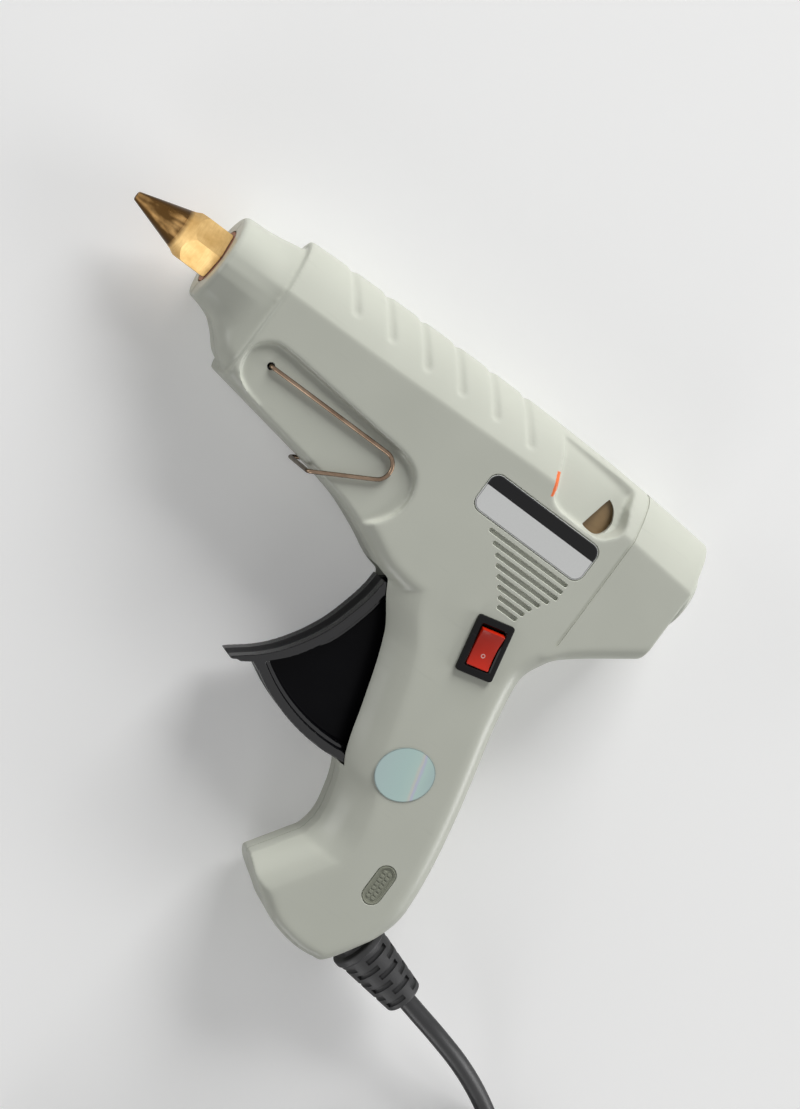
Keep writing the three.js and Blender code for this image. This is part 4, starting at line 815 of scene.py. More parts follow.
def barrelForm(inset, fine):
    rows = smoothTable(barrelRows, 5) if fine else barrelRows
    rings = []
    for x, top, drop in rows:
        x = min(max(alongBarrel(x), case["stepX"] + inset), rearX - inset)
        if not rings or x - rings[-1][0][0] > 1e-3:
            rings.append(barrelRing(x, aboveAxis(top), belowAxis(drop), inset, fine))
    return loft("barrel", rings)


def neckForm(inset, front, back, fine):
    _, top, drop = barrelRows[0]
    step = case["stepDepth"]
    goal = barrelRing(0, aboveAxis(top) - step, belowAxis(drop) + inset, inset + step, fine)
    rings = []
    for share, above, below in smoothTable(neckRows, 6) if fine else neckRows:
        rim = case["neckRim"] * max(0, 1 - share / 0.06) ** 2
        ring = []
        for _, y, z in goal:
            blend = above if y > 0 else below
            k = (case["neckRadius"] - inset - rim) / math.hypot(y, z) * (1 - blend) + blend
            ring.append((front + share * (back - front), y * k, z * k))
        rings.append(ring)
    return loft("neck", rings)


def handleRing(y, front, back, inset, fine):
    steps = 5 if fine else 1
    half, nose = case["half"] - inset, case["noseHalf"] - inset / 2
    head, tail = front + inset, back - inset
    near = [(head, 0)]
    near += [(head + reach * case["flank"], nose + width * (half - nose))
             for reach, width in through(noseRows, steps)]
    near += [(tail - reach * case["back"], min(width, 1) * half) for reach, width in through(backRows, steps)]
    near.append((tail, 0))
    near = [(x, min(z, half)) for x, z in near]
    far = [(x, -z) for x, z in reversed(near[1:-1])]
    return [(x, y, z) for x, z in near + far]


def soleForm(inset, fine):
    sole = through(sideOutline(soleRows), 5) if fine else sideOutline(soleRows)
    reach = case["drop"]
    outline = grown(sole + [(rearX + reach, reach), (-reach, reach)], -inset)
    half, edge, steps = case["half"] - inset, case["soleEdge"], 6 if fine else 1
    rings = []
    for side in (-1, 1):
        turns = range(steps + 1) if side < 0 else range(steps, -1, -1)
        for i in turns:
            angle = math.pi / 2 * i / steps
            ring = grown(outline, -edge * (1 - math.sin(angle)))
            z = side * (half - edge * (1 - math.cos(angle)))
            rings.append([(x, y, z) for x, y in ring])
    return loft("sole", rings)


def handleForm(inset, fine):
    rows = smoothTable(handleRows, 5) if fine else handleRows
    rings = []
    for i, (drop, front, back) in enumerate(rows):
        y = belowAxis(drop) + (inset if i == 0 else 0)
        rings.append(handleRing(y, alongBarrel(front), alongBarrel(back), inset, fine))
    return common(loft("handle", rings), soleForm(inset, fine))


def caseForm(inset, fine=True):
    rim = 3 if inset else 0
    neckBack = case["stepX"] + (case["wall"] + 2 if inset else 2)
    neck = neckForm(inset, case["neckFront"] + rim, neckBack, fine)
    return add(barrelForm(inset, fine), handleForm(inset, fine), neck)


# Tools that cut the case, each a little larger than the piece that it makes room for

stickBore = 5.9
hub = (alongBarrel(0.597), belowAxis(0.271))
standHub = (alongBarrel(0.061), belowAxis(0.108))
heel = (alongBarrel(0.9066), belowAxis(0.9387))
screwSpots = ([(alongBarrel(x), aboveAxis(up)) for x, up in ((0.033, 0.65), (0.385, 0.72), (0.925, 0.62))]
              + sideOutline([(0.144, 0.16), (0.845, 0.157), (0.813, 0.47), (0.695, 0.912)]))
recessRows = [(0.36, 0.29), (0.384, 0.246), (0.405, 0.222), (0.421, 0.194), (0.426, 0.16), (0.418, 0.13),
              (0.402, 0.108), (0.378, 0.095), (0.345, 0.0885), (0.3, 0.085), (0.2, 0.076), (0.12, 0.069),
              (0.07, 0.065), (0.04, 0.068), (0.014, 0.09), (0.008, 0.122), (0.022, 0.155), (0.055, 0.174),
              (0.09, 0.184), (0.12, 0.205), (0.13, 0.27)]
scoopRows = [(0.66, 0.09), (0.69, 0.02), (0.76, 0.015), (0.79, 0.09), (0.812, 0.3), (0.81, 0.6), (0.8, 1.1),
             (0.6, 1.1), (0.625, 0.64), (0.65, 0.25)]
windowRows = [(0.741, 0.055), (0.764, 0.04), (0.78, 0.075), (0.791, 0.185), (0.793, 0.33), (0.783, 0.48),
              (0.767, 0.555), (0.761, 0.51), (0.75, 0.3), (0.741, 0.115)]
ventRows = [(0.588, 0.783), (0.609, 0.783), (0.627, 0.783), (0.641, 0.773), (0.655, 0.762), (0.669, 0.753),
            (0.683, 0.747), (0.693, 0.741)]
groove = {"first": 64.6, "pitch": 12.2, "radius": 2.3, "lean": 32, "depth": 0.62, "foot": 9.9, "count": 6,
          "steps": 30, "reach": 0.9, "rounds": 3}
vent = {"first": -15.2, "pitch": 2.26, "height": 1.15, "depth": 0.9}
scoop = {"foot": 5, "depth": 3.6, "front": 0.605, "rear": 0.8, "before": 0.03, "past": 0.07, "bottom": 0.28,
         "slope": 2.2, "wall": 1.3, "rim": 1.2, "edgeDrop": 7, "ceiling": (0.6, 0.84), "ceilingFoot": 12.6}
ribs = {"thick": 2, "rows": [(30.3, 9.2), (77.7, 9.2), (90.6, 9.8), (144.6, 8.2), (168.4, 8.2)],
        "hubGap": 3.8, "hubGapRadius": 8, "wellWall": 1.4}
slot = {"lip": 0.3008, "front": 0.42, "neck": 0.485, "radius": 54.3, "start": 224, "end": 304, "half": 8}
band = {"from": 165, "to": 165.9, "depth": 0.35, "foot": 0.215}
fittings = {"hubPin": 2.1, "standLeg": 1.1, "standDepth": 7, "pilot": 1.4, "pilotEnd": 7.3, "well": 2.9}
caseBores = [(0, 32, 8.4), (184.4, rearX + 2, 10.5), (184.4, rearX - case["wall"], 11.7),
             (30, rearX, stickBore), (138.3, 184.7, 8.2)]
boot = {"radius": 8.4, "tip": 5.8, "length": 22.3, "flange": 2, "rim": 2.4, "neck": 8.6, "bore": 3,
        "ledge": 0.5, "rows": 6, "pitch": 3.1, "slot": 1.7, "slotArc": 30, "slotTurn": 20, "aim": -14,
        "seat": 3, "gap": 0.3}
label = {"x": 140.4, "y": -7.2, "length": 38.4, "height": 11.6, "corner": 3, "recess": 0.5, "thick": 0.4}
oval = {"x": 165.6, "y": -113, "length": 12.4, "width": 6, "depth": 0.9}
switchSpot = {"x": 148.9, "y": -42.3, "lean": 12.8, "length": 16.8, "width": 11.3, "flange": 1.5, "corner": 1,
              "bodyLength": 13.6, "bodyWidth": 8.4, "depth": 10, "mouthDepth": 4.6}
screwHead = {"radius": 2.6, "thick": 1.6, "shank": 1.1, "boss": 3.3, "floor": 6, "length": 13,
             "slotHalf": 0.3}


def inPlane(piece, degrees, x, y, z=0):
    return moved(piece, Matrix.Translation((x, y, z)) @ Matrix.Rotation(math.radians(degrees), 4, "Z"))


def onHeel(piece):
    return inPlane(piece, boot["aim"], *heel)


def onSwitch(piece):
    return inPlane(piece, switchSpot["lean"], switchSpot["x"], switchSpot["y"])


def bothSides(piece):
    return [piece, flipped(piece)]


def axisHole(x0, x1, radius, sides=64):
    return turned("hole", [(x0, 0), (x0, radius), (x1, radius), (x1, 0)], sides)


def roofOutline(rows, steps):
    return through([(alongBarrel(x), aboveAxis(up)) for x, up in rows], steps, closed=True)


def recessOutline():
    return through(sideOutline(recessRows), 4)


# The scoop's floor is the barrel's own section, pressed in further towards the rear
def scoopFloor(inset, count, fine):
    half, rings = case["half"], []
    length = scoop["rear"] + scoop["past"] - scoop["front"]
    for i in range(count + 1):
        share = scoop["front"] - scoop["before"] + i * length / count
        sink = max(0, (share - scoop["front"]) / (scoop["rear"] - scoop["front"])) * scoop["depth"]
        x = alongBarrel(share)
        ring = barrelRing(x, roofTop(x), belowAxis(scoop["bottom"]), 0, fine, scoop["edgeDrop"])
        rings.append([(px, py, pz * (1 - (sink + inset) / half)) for px, py, pz in ring])
    return loft("floor", rings)


def scoopTool():
    outline = roofOutline(scoopRows, 4)
    low, high = grown(outline, -scoop["slope"]), grown(outline, 0.5)
    return cut(stack("scoop", [(low, scoop["foot"]), (high, case["half"] + 1)]), scoopFloor(0, 12, True))


# A groove's line over the roof; it leans back, so each of its places is found in a few rounds
def grooveLine(start):
    lean, lift = math.tan(math.radians(groove["lean"])), groove["radius"] - groove["depth"]
    line = []
    for i in range(round(groove["steps"] * groove["reach"])):
        t = i / groove["steps"]
        x = start
        for _ in range(groove["rounds"]):
            z, y = roofPoint(x, roofTop(x), 0, t)
            x = start - (y - groove["foot"]) * lean
        aheadZ, aheadY = roofPoint(x, roofTop(x), 0, t + 0.01)
        side = Vector((y - aheadY, aheadZ - z)).normalized() * lift
        if y < groove["foot"]:
            break
        line.append((x, y + side.y, z + side.x))
    return [(x, y, -z) for x, y, z in reversed(line[1:])] + line


def ball(name, centre, radius):
    profile = [(-radius * math.cos(math.pi * i / 16), radius * math.sin(math.pi * i / 16)) for i in range(17)]
    return moved(turned(name, profile, 32), Matrix.Translation(centre))


def grooveTools():
    tools = []
    for i in range(groove["count"]):
        line = grooveLine(groove["first"] + i * groove["pitch"])
        tools.append(sweep("groove", line, groove["radius"], 24))
        tools += [ball("end", line[k], groove["radius"]) for k in (0, -1)]
    return tools


# The room inside the case, left solid where ribs, bosses and the backs of recesses stand
def roomForm():
    room = caseForm(case["wall"], False)
    half, wall, top = case["half"], case["wall"], case["crown"]
    solids = []
    for x, hole in ribs["rows"]:
        rib = block("rib", x, x + ribs["thick"], -half, top, -half, half)
        solids.append(cut(rib, axisHole(x - 1, x + ribs["thick"] + 1, hole, 32)))
    solids += [bar("boss", x, y, screwHead["boss"], -half, half, 12) for x, y in screwSpots]
    well = screwHead["radius"] + ribs["wellWall"]
    solids += [bar("well", x, y, well, -half, wall - screwHead["floor"], 12) for x, y in screwSpots]
    pin = bar("boss", *hub, screwHead["boss"] + 1, -half, half, 24)
    solids.append(cut(pin, bar("gap", *hub, ribs["hubGapRadius"], -ribs["hubGap"], ribs["hubGap"], 12)))
    recess = grown(recessOutline(), wall)
    solids += bothSides(prism("back", recess, half - case["recess"] - wall, half))
    front, rear = (alongBarrel(share) for share in scoop["ceiling"])
    solids.append(block("ceiling", front, rear, scoop["ceilingFoot"], top, -half, half))
    back = prism("back", grown(roofOutline(scoopRows, 3), scoop["rim"]), 3, half)
    solids += bothSides(cut(back, scoopFloor(scoop["wall"], 6, False)))
    solids.append(onHeel(axisHole(case["gap"] - boot["neck"], 0, boot["radius"] + boot["seat"], 32)))
    return cut(room, *solids)


# The trigger comes out of the handle's front through this opening
def slotTool():
    lip, half = belowAxis(slot["lip"]), slot["half"]
    points = [(hub[0] + 5, lip + 2), (alongBarrel(slot["neck"]), lip + 2),
              (alongBarrel(slot["front"]), lip - case["wall"])]
    points += arc(*hub, slot["radius"], math.radians(slot["start"]), math.radians(slot["end"]), 48)
    return prism("slot", points, -half, half)


# Both halves in one: outer form, then the room, the windows and every hole
def wholeCase():
    half, flange = case["half"], -boot["neck"] - boot["flange"]
    whole = cut(caseForm(0), *bothSides(flared("recess", recessOutline(), half - case["recess"], half, 0.4)),
                *bothSides(scoopTool()), *grooveTools())
    softened(whole, case["voxel"], case["smoothing"])
    tools = [slotTool()]
    tools += bothSides(bar("leg", *standHub, fittings["standLeg"], half - fittings["standDepth"], half, 24))
    tools += bothSides(prism("window", roofOutline(windowRows, 4), 2, half + 2))
    tools += bothSides(bar("pin", *hub, fittings["hubPin"], case["wall"] - half + 0.01, 0, 24))
    wide, gap = boot["radius"] + boot["gap"], boot["gap"]
    tools.append(onHeel(axisHole(flange, boot["length"], wide - boot["rim"])))
    tools.append(onHeel(axisHole(flange - gap, gap - boot["neck"], wide)))
    tools += [axisHole(*bore) for bore in caseBores]
    low, high = belowAxis(band["foot"]), case["crown"] + 2
    line = block("band", band["from"], band["to"], low, high, -half - 2, half + 2)
    tools.append(cut(line, barrelForm(band["depth"], True)))
    return cut(whole, roomForm(), *tools)


# Vents, and the seats of the plate, the insert and the switch, in the near half only
def nearTools():
    half, gap = case["half"], case["gap"]
    tools = []
    for i, (front, rear) in enumerate(ventRows):
        x0, x1 = alongBarrel(front), alongBarrel(rear)
        line = roundedBox((x0 + x1) / 2, vent["first"] - i * vent["pitch"], x1 - x0, vent["height"], 0.5, 4)
        tools.append(flared("vent", line, half - vent["depth"], half, 0.18))
    plate = roundedBox(label["x"], label["y"], label["length"] + 2 * gap, label["height"] + 2 * gap,
                       label["corner"] + gap)
    tools.append(flared("label", plate, half - label["recess"], half, 0.15))
    pill = roundedBox(oval["x"], oval["y"], oval["width"], oval["length"], oval["width"] / 2 - 0.01, 12)
    tools.append(flared("oval", pill, half - oval["depth"], half, 0.2))
    wide, long = switchSpot["bodyWidth"] / 2 + gap, switchSpot["bodyLength"] / 2 + gap
    mouth = block("switch", -wide, wide, -long, long, half - switchSpot["mouthDepth"], half + 2)
    return [*tools, onSwitch(mouth)]


def makeCase():
    half, reach, seam = case["half"], case["drop"] * 2, case["seam"] / 2
    left = wholeCase()
    right = twin(left)
    common(left, block("near", -reach, reach, -reach, reach, seam, half + 3))
    common(right, block("far", -reach, reach, -reach, reach, -half - 3, -seam))
    pilots = [bar("pilot", x, y, fittings["pilot"], -half, fittings["pilotEnd"], 16) for x, y in screwSpots]
    wells = [bar("well", x, y, fittings["well"], -half - 2, -screwHead["floor"], 32) for x, y in screwSpots]
    cut(left, *[twin(pilot) for pilot in pilots], *nearTools())
    cut(right, *pilots, *wells)
    left.name, right.name = "leftCase", "rightCase"
    kept(left, paints["caseLeft"], "case", "case_plastic", "left_shell", degrees=38)
    kept(right, paints["caseRight"], "case", "case_plastic", "right_shell", degrees=38)
    print("glue gun: case made,", len(left.data.polygons), "and", len(right.data.polygons), "faces")


makeCase()


# Trigger: a fan with a wide finger flange in front, a curved flange below and a web between them

trigger = {"half": 7.5, "web": 2, "flange": 2.6, "reach": 53.8, "end": 278, "hub": 5, "hubHalf": 3.5,
           "bore": 2.1, "fork": 1.9, "forkFoot": -14.8, "prong": 2.2, "armTop": -9.8, "toe": 1.5,
           "toeSteps": 14, "bead": 1.4, "beadHalf": 5.4, "beadEnd": 33, "voxel": 0.34, "smoothing": 4}
fingerRows = [(0.497, 0.312), (0.494, 0.35), (0.485, 0.392), (0.472, 0.437), (0.455, 0.476), (0.434, 0.512),
              (0.409, 0.546), (0.379, 0.576), (0.352, 0.597), (0.339, 0.608), (0.347, 0.6085),
              (0.3765, 0.588)]


# A strip along a line; its last steps thin down to the toe
def strip(points, thick, toe, low, high):
    behind = []
    for i, (x, y) in enumerate(points):
        px, py = points[max(i - 1, 0)]
        nx, ny = points[min(i + 1, len(points) - 1)]
        share = min(1, (len(points) - 1 - i) / trigger["toeSteps"])
        side = Vector((py - ny, nx - px)).normalized() * (toe + (thick - toe) * share)
        behind.append((x + side.x, y + side.y))
    return prism("strip", list(points) + behind[::-1], low, high)


# The arm above the hub, with a fork around the feed pin
def makeArm():
    fork, web, x = trigger["fork"], trigger["web"], hub[0]
    wide, top = fork + trigger["prong"], trigger["armTop"]
    return cut(block("arm", x - wide, x + wide, hub[1], top, -web, web),
               block("fork", x - fork, x + fork, trigger["forkFoot"], top + 2, -14, 14))


def makeTrigger():
    finger = sideOutline(fingerRows)
    front = through(finger[:9], 5)
    inner = trigger["reach"] - trigger["flange"]
    start = math.pi + math.acos((hub[0] - finger[-1][0] - trigger["toe"]) / trigger["reach"])
    end = math.radians(trigger["end"])
    half, web, flange, thin = trigger["half"], trigger["web"], trigger["flange"], trigger["toe"]
    step, bead = trigger["bead"], trigger["beadHalf"]
    outside = arc(*hub, trigger["reach"], start, end, 40)
    lower = prism("triggerLever", outside + arc(*hub, inner, end, start, 40), -half, half)
    back = through(finger[7:], 4) + [outside[4], arc(*hub, inner, start, end, 40)[4]]
    middle = [(hub[0] + trigger["hub"], hub[1]), (hub[0], hub[1] + trigger["hub"])]
    lowerBead = prism("bead", arc(*hub, inner + 0.2, start - 0.02, end, 40)
                      + arc(*hub, inner - step, end, start - 0.02, 40), -bead, bead)
    frontBead = strip(front[:trigger["beadEnd"]], flange + step, thin, -bead, bead)
    body = add(lower, strip(front, flange, thin, -half, half), prism("toe", back, -half, half),
               prism("web", front + outside[1:] + middle, -web, web), makeArm(), lowerBead, frontBead,
               bar("hub", *hub, trigger["hub"], -trigger["hubHalf"], trigger["hubHalf"], 48))
    softened(body, trigger["voxel"], trigger["smoothing"])
    cut(body, bar("pin", *hub, trigger["bore"], -14, 14, 40))
    kept(body, paints["trigger"], "trigger", "black_plastic", "trigger", degrees=50)


makeTrigger()


# Nozzle, turned and milled

nozzle = {"tip": 1.35, "bore": 0.8, "cone": 15.5, "coneEnd": 6, "flats": 13.6, "hex": 11.2, "chamfer": 4,
          "shank": 4.8, "shankLength": 9, "pitch": 0.9, "thread": 0.35, "threads": 9, "channel": 2.2}


# The milled nut: a hexagon inside a turned form with a chamfer
def makeNut(x0, x1):
    corner = nozzle["flats"] / math.sqrt(3)
    hexagon = [[(x, corner * math.sin(math.pi / 3 * i), corner * math.cos(math.pi / 3 * i)) for i in range(6)]
               for x in (x0 - 1, x1)]
    envelope = [(x0 - 1, 0), (x0 - 1, nozzle["coneEnd"] - 0.4), (x0, nozzle["coneEnd"]),
                (x0 + nozzle["chamfer"], corner + 0.3), (x1 - 0.5, corner + 0.3), (x1, corner - 0.3), (x1, 0)]
    return common(loft("nozzle", hexagon), turned("envelope", envelope, 128))


def makeCone(x0, steps=11):
    tip, wide = nozzle["tip"] + 0.04, nozzle["coneEnd"]
    cone = [(0, 0), (0, nozzle["tip"] - 0.25), (0.12, nozzle["tip"] - 0.07), (0.4, tip)]
    cone += [(0.4 + i / steps * (x0 - 0.4), tip + i / steps * (wide - tip)) for i in range(1, steps + 1)]
    return turned("cone", [*cone, (x0 + 2, wide), (x0 + 2, 0)], 128)


def makeShank(x1, end):
    radius, pitch = nozzle["shank"], nozzle["pitch"]
    shank = [(x1 - 2, 0), (x1 - 2, radius), (x1 + 0.8, radius)]
    for i in range(nozzle["threads"]):
        x = x1 + 1 + i * pitch
        shank += [(x, radius), (x + pitch / 2, radius - nozzle["thread"])]
    return turned("shank", [*shank, (end, radius - 0.3), (end, 0)], 96)


def makeNozzle():
    x0 = nozzle["cone"]
    x1 = x0 + nozzle["hex"]
    end, bore, wide = x1 + nozzle["shankLength"], nozzle["bore"], nozzle["channel"]
    channel = [(-2, 0), (-2, bore + 0.2), (0, bore + 0.12), (0.3, bore), (x0 / 2, bore), (x0, wide),
               (end + 2, wide), (end + 2, 0)]
    body = cut(add(makeNut(x0, x1), makeCone(x0), makeShank(x1, end)), turned("channel", channel, 48))
    kept(body, paints["brass"], "case", "brass", "brass_nozzle", degrees=22)


makeNozzle()


# Guide, rear ring and boot: turned pieces

guideSetup = {"start": 138.6, "end": 184.4, "radius": 7.9, "saddle": (149, 160.5, -1, 11.7, -6.4, 6.4)}
ringLine = [(184.7, 6.4), (190.6, 6.4), (191.8, 7.4), (191.8, 9.4), (191.2, 10.2), (186.2, 10.2),
            (186.2, 11.4), (184.7, 11.4)]


def makeGuide(setup):
    x0, x1, wide = setup["start"], setup["end"], setup["radius"]
    line = [(x0, wide), (x0, stickBore), (x1, stickBore), (x1, wide), (x0, wide)]
    guide = turned("stickGuide", roundCorners(line, 0.4)[1:-1], 72)
    add(guide, cut(block("saddle", *setup["saddle"]), axisHole(140, 170, stickBore + 0.5)))
    kept(guide, paints["guide"], "case", "guide_plastic", "stick_guide")


def makeEntryRing():
    collar = turned("entryRing", roundLoop(ringLine, 0.5), 96)
    kept(collar, paints["collar"], "case", "collar_plastic", "rear_collar")


def bootBody():
    back, wide, neck = -boot["neck"] - boot["flange"], boot["radius"], boot["radius"] - boot["rim"]
    line = [(back, boot["bore"]), (back, wide), (-boot["neck"], wide), (-boot["neck"], neck), (0, neck),
            (0, wide), (boot["flange"], wide), (boot["flange"] + 0.3, wide - boot["ledge"]),
            (boot["length"], boot["tip"]), (boot["length"], boot["bore"])]
    return turned("strainRelief", roundLoop(line, 0.6), 96)


# Short slots around the boot, four in a row, each row turned by half a step
def bootSlots():
    foot = boot["radius"] - boot["ledge"]
    slots = []
    for row in range(boot["rows"]):
        x = boot["flange"] + boot["pitch"] * (row + 0.75)
        share = (x - boot["flange"]) / (boot["length"] - boot["flange"])
        radius = foot + (boot["tip"] - foot) * share
        for turn in range(4):
            middle = 90 * turn + 45 * (row % 2) + boot["slotTurn"]
            angles = [math.radians(middle + a) for a in range(-boot["slotArc"], boot["slotArc"] + 1, 5)]
            line = [(x, radius * math.sin(angle), radius * math.cos(angle)) for angle in angles]
            slots.append(sweep("slot", line, boot["slot"] / 2, 12))
    return slots


def makeBoot():
    body = onHeel(cut(bootBody(), *bootSlots()))
    kept(body, paints["boot"], "case", "boot_rubber", "strain_relief", degrees=60)


makeGuide(guideSetup)
makeEntryRing()
makeBoot()


# Stand: one bent wire

stand = {"wire": 1.6, "drawn": 1.22, "leg": 39.5, "bend": 4.1, "turn": 208.7, "depth": 5, "crossbar": -31.9,
         "corner": 1.5, "float": 0.3}


def makeStand():
    x, y = standHub
    bed, corner = case["half"] - case["recess"] + stand["float"], stand["corner"]
    legZ = bed + stand["wire"] / 2
    bendX, bendY, leave = x + stand["leg"], y - stand["bend"], math.radians(stand["turn"])
    bends = arc(bendX, bendY, stand["bend"], math.pi / 2, leave + math.pi / 2 - 2 * math.pi, 16)
    endX, endY = bends[-1]
    run = (stand["crossbar"] - endY) / math.sin(leave)
    barX = endX + run * math.cos(leave)
    side = roundCorners([(x, y, bed - stand["depth"]), (x, y, legZ), (*bends[0], legZ)], corner, 6)[:-1]
    side += [(*bend, legZ) for bend in bends]
    side += roundCorners([(endX, endY, legZ), (barX, stand["crossbar"], legZ), (barX, stand["crossbar"], 0)],
                         corner, 6)[1:-1]
    other = [(px, py, -pz) for px, py, pz in reversed(side)]
    wire = sweep("standWire", side + other, stand["drawn"] / 2, 18)
    kept(wire, paints["wire"], "stand", "stand_wire", "wire_stand", degrees=60)


makeStand()


# Switch: frame, and a hollowed rocker with a small ring mark

rocker = {"length": 11, "width": 6.8, "rise": 2.9, "hollow": 1.1, "drop": 2.6, "tilt": 9, "pivot": 13.9,
          "mark": (0.3, -2.2), "markRadius": 0.5, "markWidth": 0.17, "red": (0.60, 0.022, 0.006),
          "deep": (0.58, 0.020, 0.005), "pale": (0.85, 0.62, 0.56)}
rockerRows = [(-1, 0.3), (-0.975, 0.09), (-0.93, 0), (0.93, 0), (0.975, 0.09), (1, 0.3)]


def makeSwitchFrame():
    half, wide, long = case["half"], switchSpot["bodyWidth"] / 2, switchSpot["bodyLength"] / 2
    rim = roundedBox(0, 0, switchSpot["width"], switchSpot["length"], switchSpot["corner"], 6)
    top = half + switchSpot["flange"]
    frameRing = stack("switchFrame", [(rim, half + 0.15), (rim, top - 0.45), (grown(rim, -0.14), top - 0.13),
                                      (grown(rim, -0.45), top)])
    body = block("body", -wide, wide, -long, long, half - switchSpot["depth"], half + 0.7)
    mouth = roundedBox(0, 0, rocker["width"] + 0.6, rocker["length"] + 1.2, 0.4, 4)
    outer = grown(mouth, 0.35)
    cutter = stack("mouth", [(mouth, half - 5), (mouth, top - 0.35), (outer, top), (outer, top + 2)])
    made = onSwitch(cut(add(frameRing, body), cutter))
    kept(made, paints["black"], "case", "black_plastic", "switch_frame")


def rockerPaint():
    paint = Paint("red rocker plastic", IOR=1.5, Specular_IOR_Level=0.3)
    across, along, z = paint.turnedAxes(switchSpot, switchSpot["lean"])
    across, along = across - rocker["mark"][0], along - rocker["mark"][1]
    away = (across * across + along * along) ** 0.5
    ring = paint.clamp((rocker["markWidth"] - abs(away - rocker["markRadius"])) / 0.08)
    cloud = paint.noise(0.4, 2)
    colour = paint.mix(cloud, rocker["red"], rocker["deep"])
    colour = paint.mix(ring * (z > rocker["pivot"]) * 0.8, colour, rocker["pale"])
    fine = paint.noise(2.4, 2)
    normal = paint.bump(fine, 0.3, 0.00001)
    return paint.finish(Base_Color=colour, Roughness=0.17 + fine * 0.08, Normal=normal)


def makeRocker():
    half, steps = rocker["length"] / 2, 20
    top = [(half - 2 * half * i / steps, rocker["rise"] - rocker["hollow"] * (1 - (1 - 2 * i / steps) ** 2))
           for i in range(steps + 1)]
    profile = roundCorners([(0, -rocker["drop"]), (half / 2, -rocker["drop"]), (half, 0), *top, (-half, 0),
                            (-half / 2, -rocker["drop"]), (0, -rocker["drop"])], 0.3, 3)[1:-1]
    angle, width = math.radians(rocker["tilt"]), rocker["width"] / 2
    rings = []
    for share, inset in rockerRows:
        ring = []
        for u, h in profile:
            u, h = u * (1 - inset / half), h - (inset if h > 0 else -inset)
            ring.append((share * width, u * math.cos(angle) - h * math.sin(angle),
                         rocker["pivot"] + u * math.sin(angle) + h * math.cos(angle)))
        rings.append(ring)
    made = onSwitch(loft("switchRocker", rings))
    kept(made, rockerPaint(), "rocker", "red_plastic", "switch_rocker", degrees=50)


makeSwitchFrame()
makeRocker()


# Bare plate, bare round sticker and the small insert in the handle

plateLook = {"pale": (0.74, 0.75, 0.74), "dark": (0.003, 0.003, 0.0035), "line": (0.06, 0.062, 0.065),
             "bandTop": 2, "bandFoot": -5.7, "border": 0.42}


def platePaint():
    look = plateLook
    paint = Paint("bare rating plate", IOR=1.5, Specular_IOR_Level=0.25)
    x, y = paint.axes()[:2]
    fine = paint.noise(1.8, 3)
    dx = paint.maths("MAXIMUM", abs(x - label["x"]) - (label["length"] / 2 - label["corner"]), 0)
    dy = paint.maths("MAXIMUM", abs(y - label["y"]) - (label["height"] / 2 - label["corner"]), 0)
    inside = label["corner"] - (dx * dx + dy * dy) ** 0.5
    border = paint.band(inside, 0.16, look["border"], 0.1)
    stripe = paint.band(y, look["bandFoot"], look["bandTop"], 0.12) * paint.clamp((inside - 0.05) / 0.1)
    colour = paint.mix(fine, look["pale"], tuple(c * 0.93 for c in look["pale"]))
    colour = paint.mix(stripe, colour, look["dark"])
    colour = paint.mix(border * 0.85, colour, look["line"])
    normal = paint.bump(fine, 0.25, 0.00001)
    return paint.finish(Base_Color=colour, Roughness=0.28 + fine * 0.1, Normal=normal)


sticker = {"x": 152.3, "y": -83.7, "wide": 8.7, "high": 7.75, "turn": 36, "edge": 0.3,
           "rim": (0.15, 0.18, 0.18),
           "rainbowSheenStops": [(0.0, (0.45, 0.58, 0.57)), (0.5, (0.46, 0.62, 0.59)), (0.66, (0.49, 0.64, 0.60)),
                       (0.71, (0.60, 0.62, 0.56)), (0.75, (0.53, 0.55, 0.68)), (0.8, (0.48, 0.64, 0.60)),
                       (1.0, (0.43, 0.56, 0.55))]}


# Foil film: pale teal with faint bands of other hues across it, its rainbow sheen painted into the colour
def stickerPaint():
    paint = Paint("pale round sticker", Metallic=0.2, IOR=1.5, Coat_Roughness=0.1)
    along, across = paint.turnedAxes(sticker, sticker["turn"])[:2]
    along, across = along / sticker["wide"], across / sticker["high"]
    away = (along * along + across * across) ** 0.5
    cloud = paint.noise(0.12, 2)
    fine = paint.noise(5, 2)
    # Painted sheen: the foil's rainbow bands, fixed on the surface
    streak = along * 0.5 + 0.5 - across * 0.14 + (cloud - 0.5) * 0.1
    colour = paint.node("ValToRGB", {"stops": sticker["rainbowSheenStops"]}, {0: streak})
    rim = paint.clamp((away - (1 - sticker["edge"] / sticker["high"])) / 0.015)
    colour = paint.mix(rim * 0.6, colour, sticker["rim"])
    normal = paint.bump(fine, 0.2, 0.00001)
    return paint.finish(Base_Color=colour, Roughness=0.24 + fine * 0.12, Normal=normal)


def makePlate():
    low = case["half"] - label["recess"] + 0.1
    line = roundedBox(label["x"], label["y"], label["length"], label["height"], label["corner"], 12)
    top = grown(line, -0.12)
    plate = stack("ratingPlate", [(line, low), (line, low + 0.28), (top, low + label["thick"])])
    kept(plate, platePaint(), "case", "label", "label_plate")


def makeSticker():
    half, turn = case["half"], math.radians(sticker["turn"])
    disc = [(sticker["x"] + sticker["wide"] * u * math.cos(turn) - sticker["high"] * v * math.sin(turn),
             sticker["y"] + sticker["wide"] * u * math.sin(turn) + sticker["high"] * v * math.cos(turn))
            for u, v in circle(0, 0, 1, 96)]
    film = stack("roundSticker", [(disc, half + 0.1), (disc, half + 0.18), (grown(disc, -0.07), half + 0.25)])
    kept(film, stickerPaint(), "case", "sticker", "round_sticker")


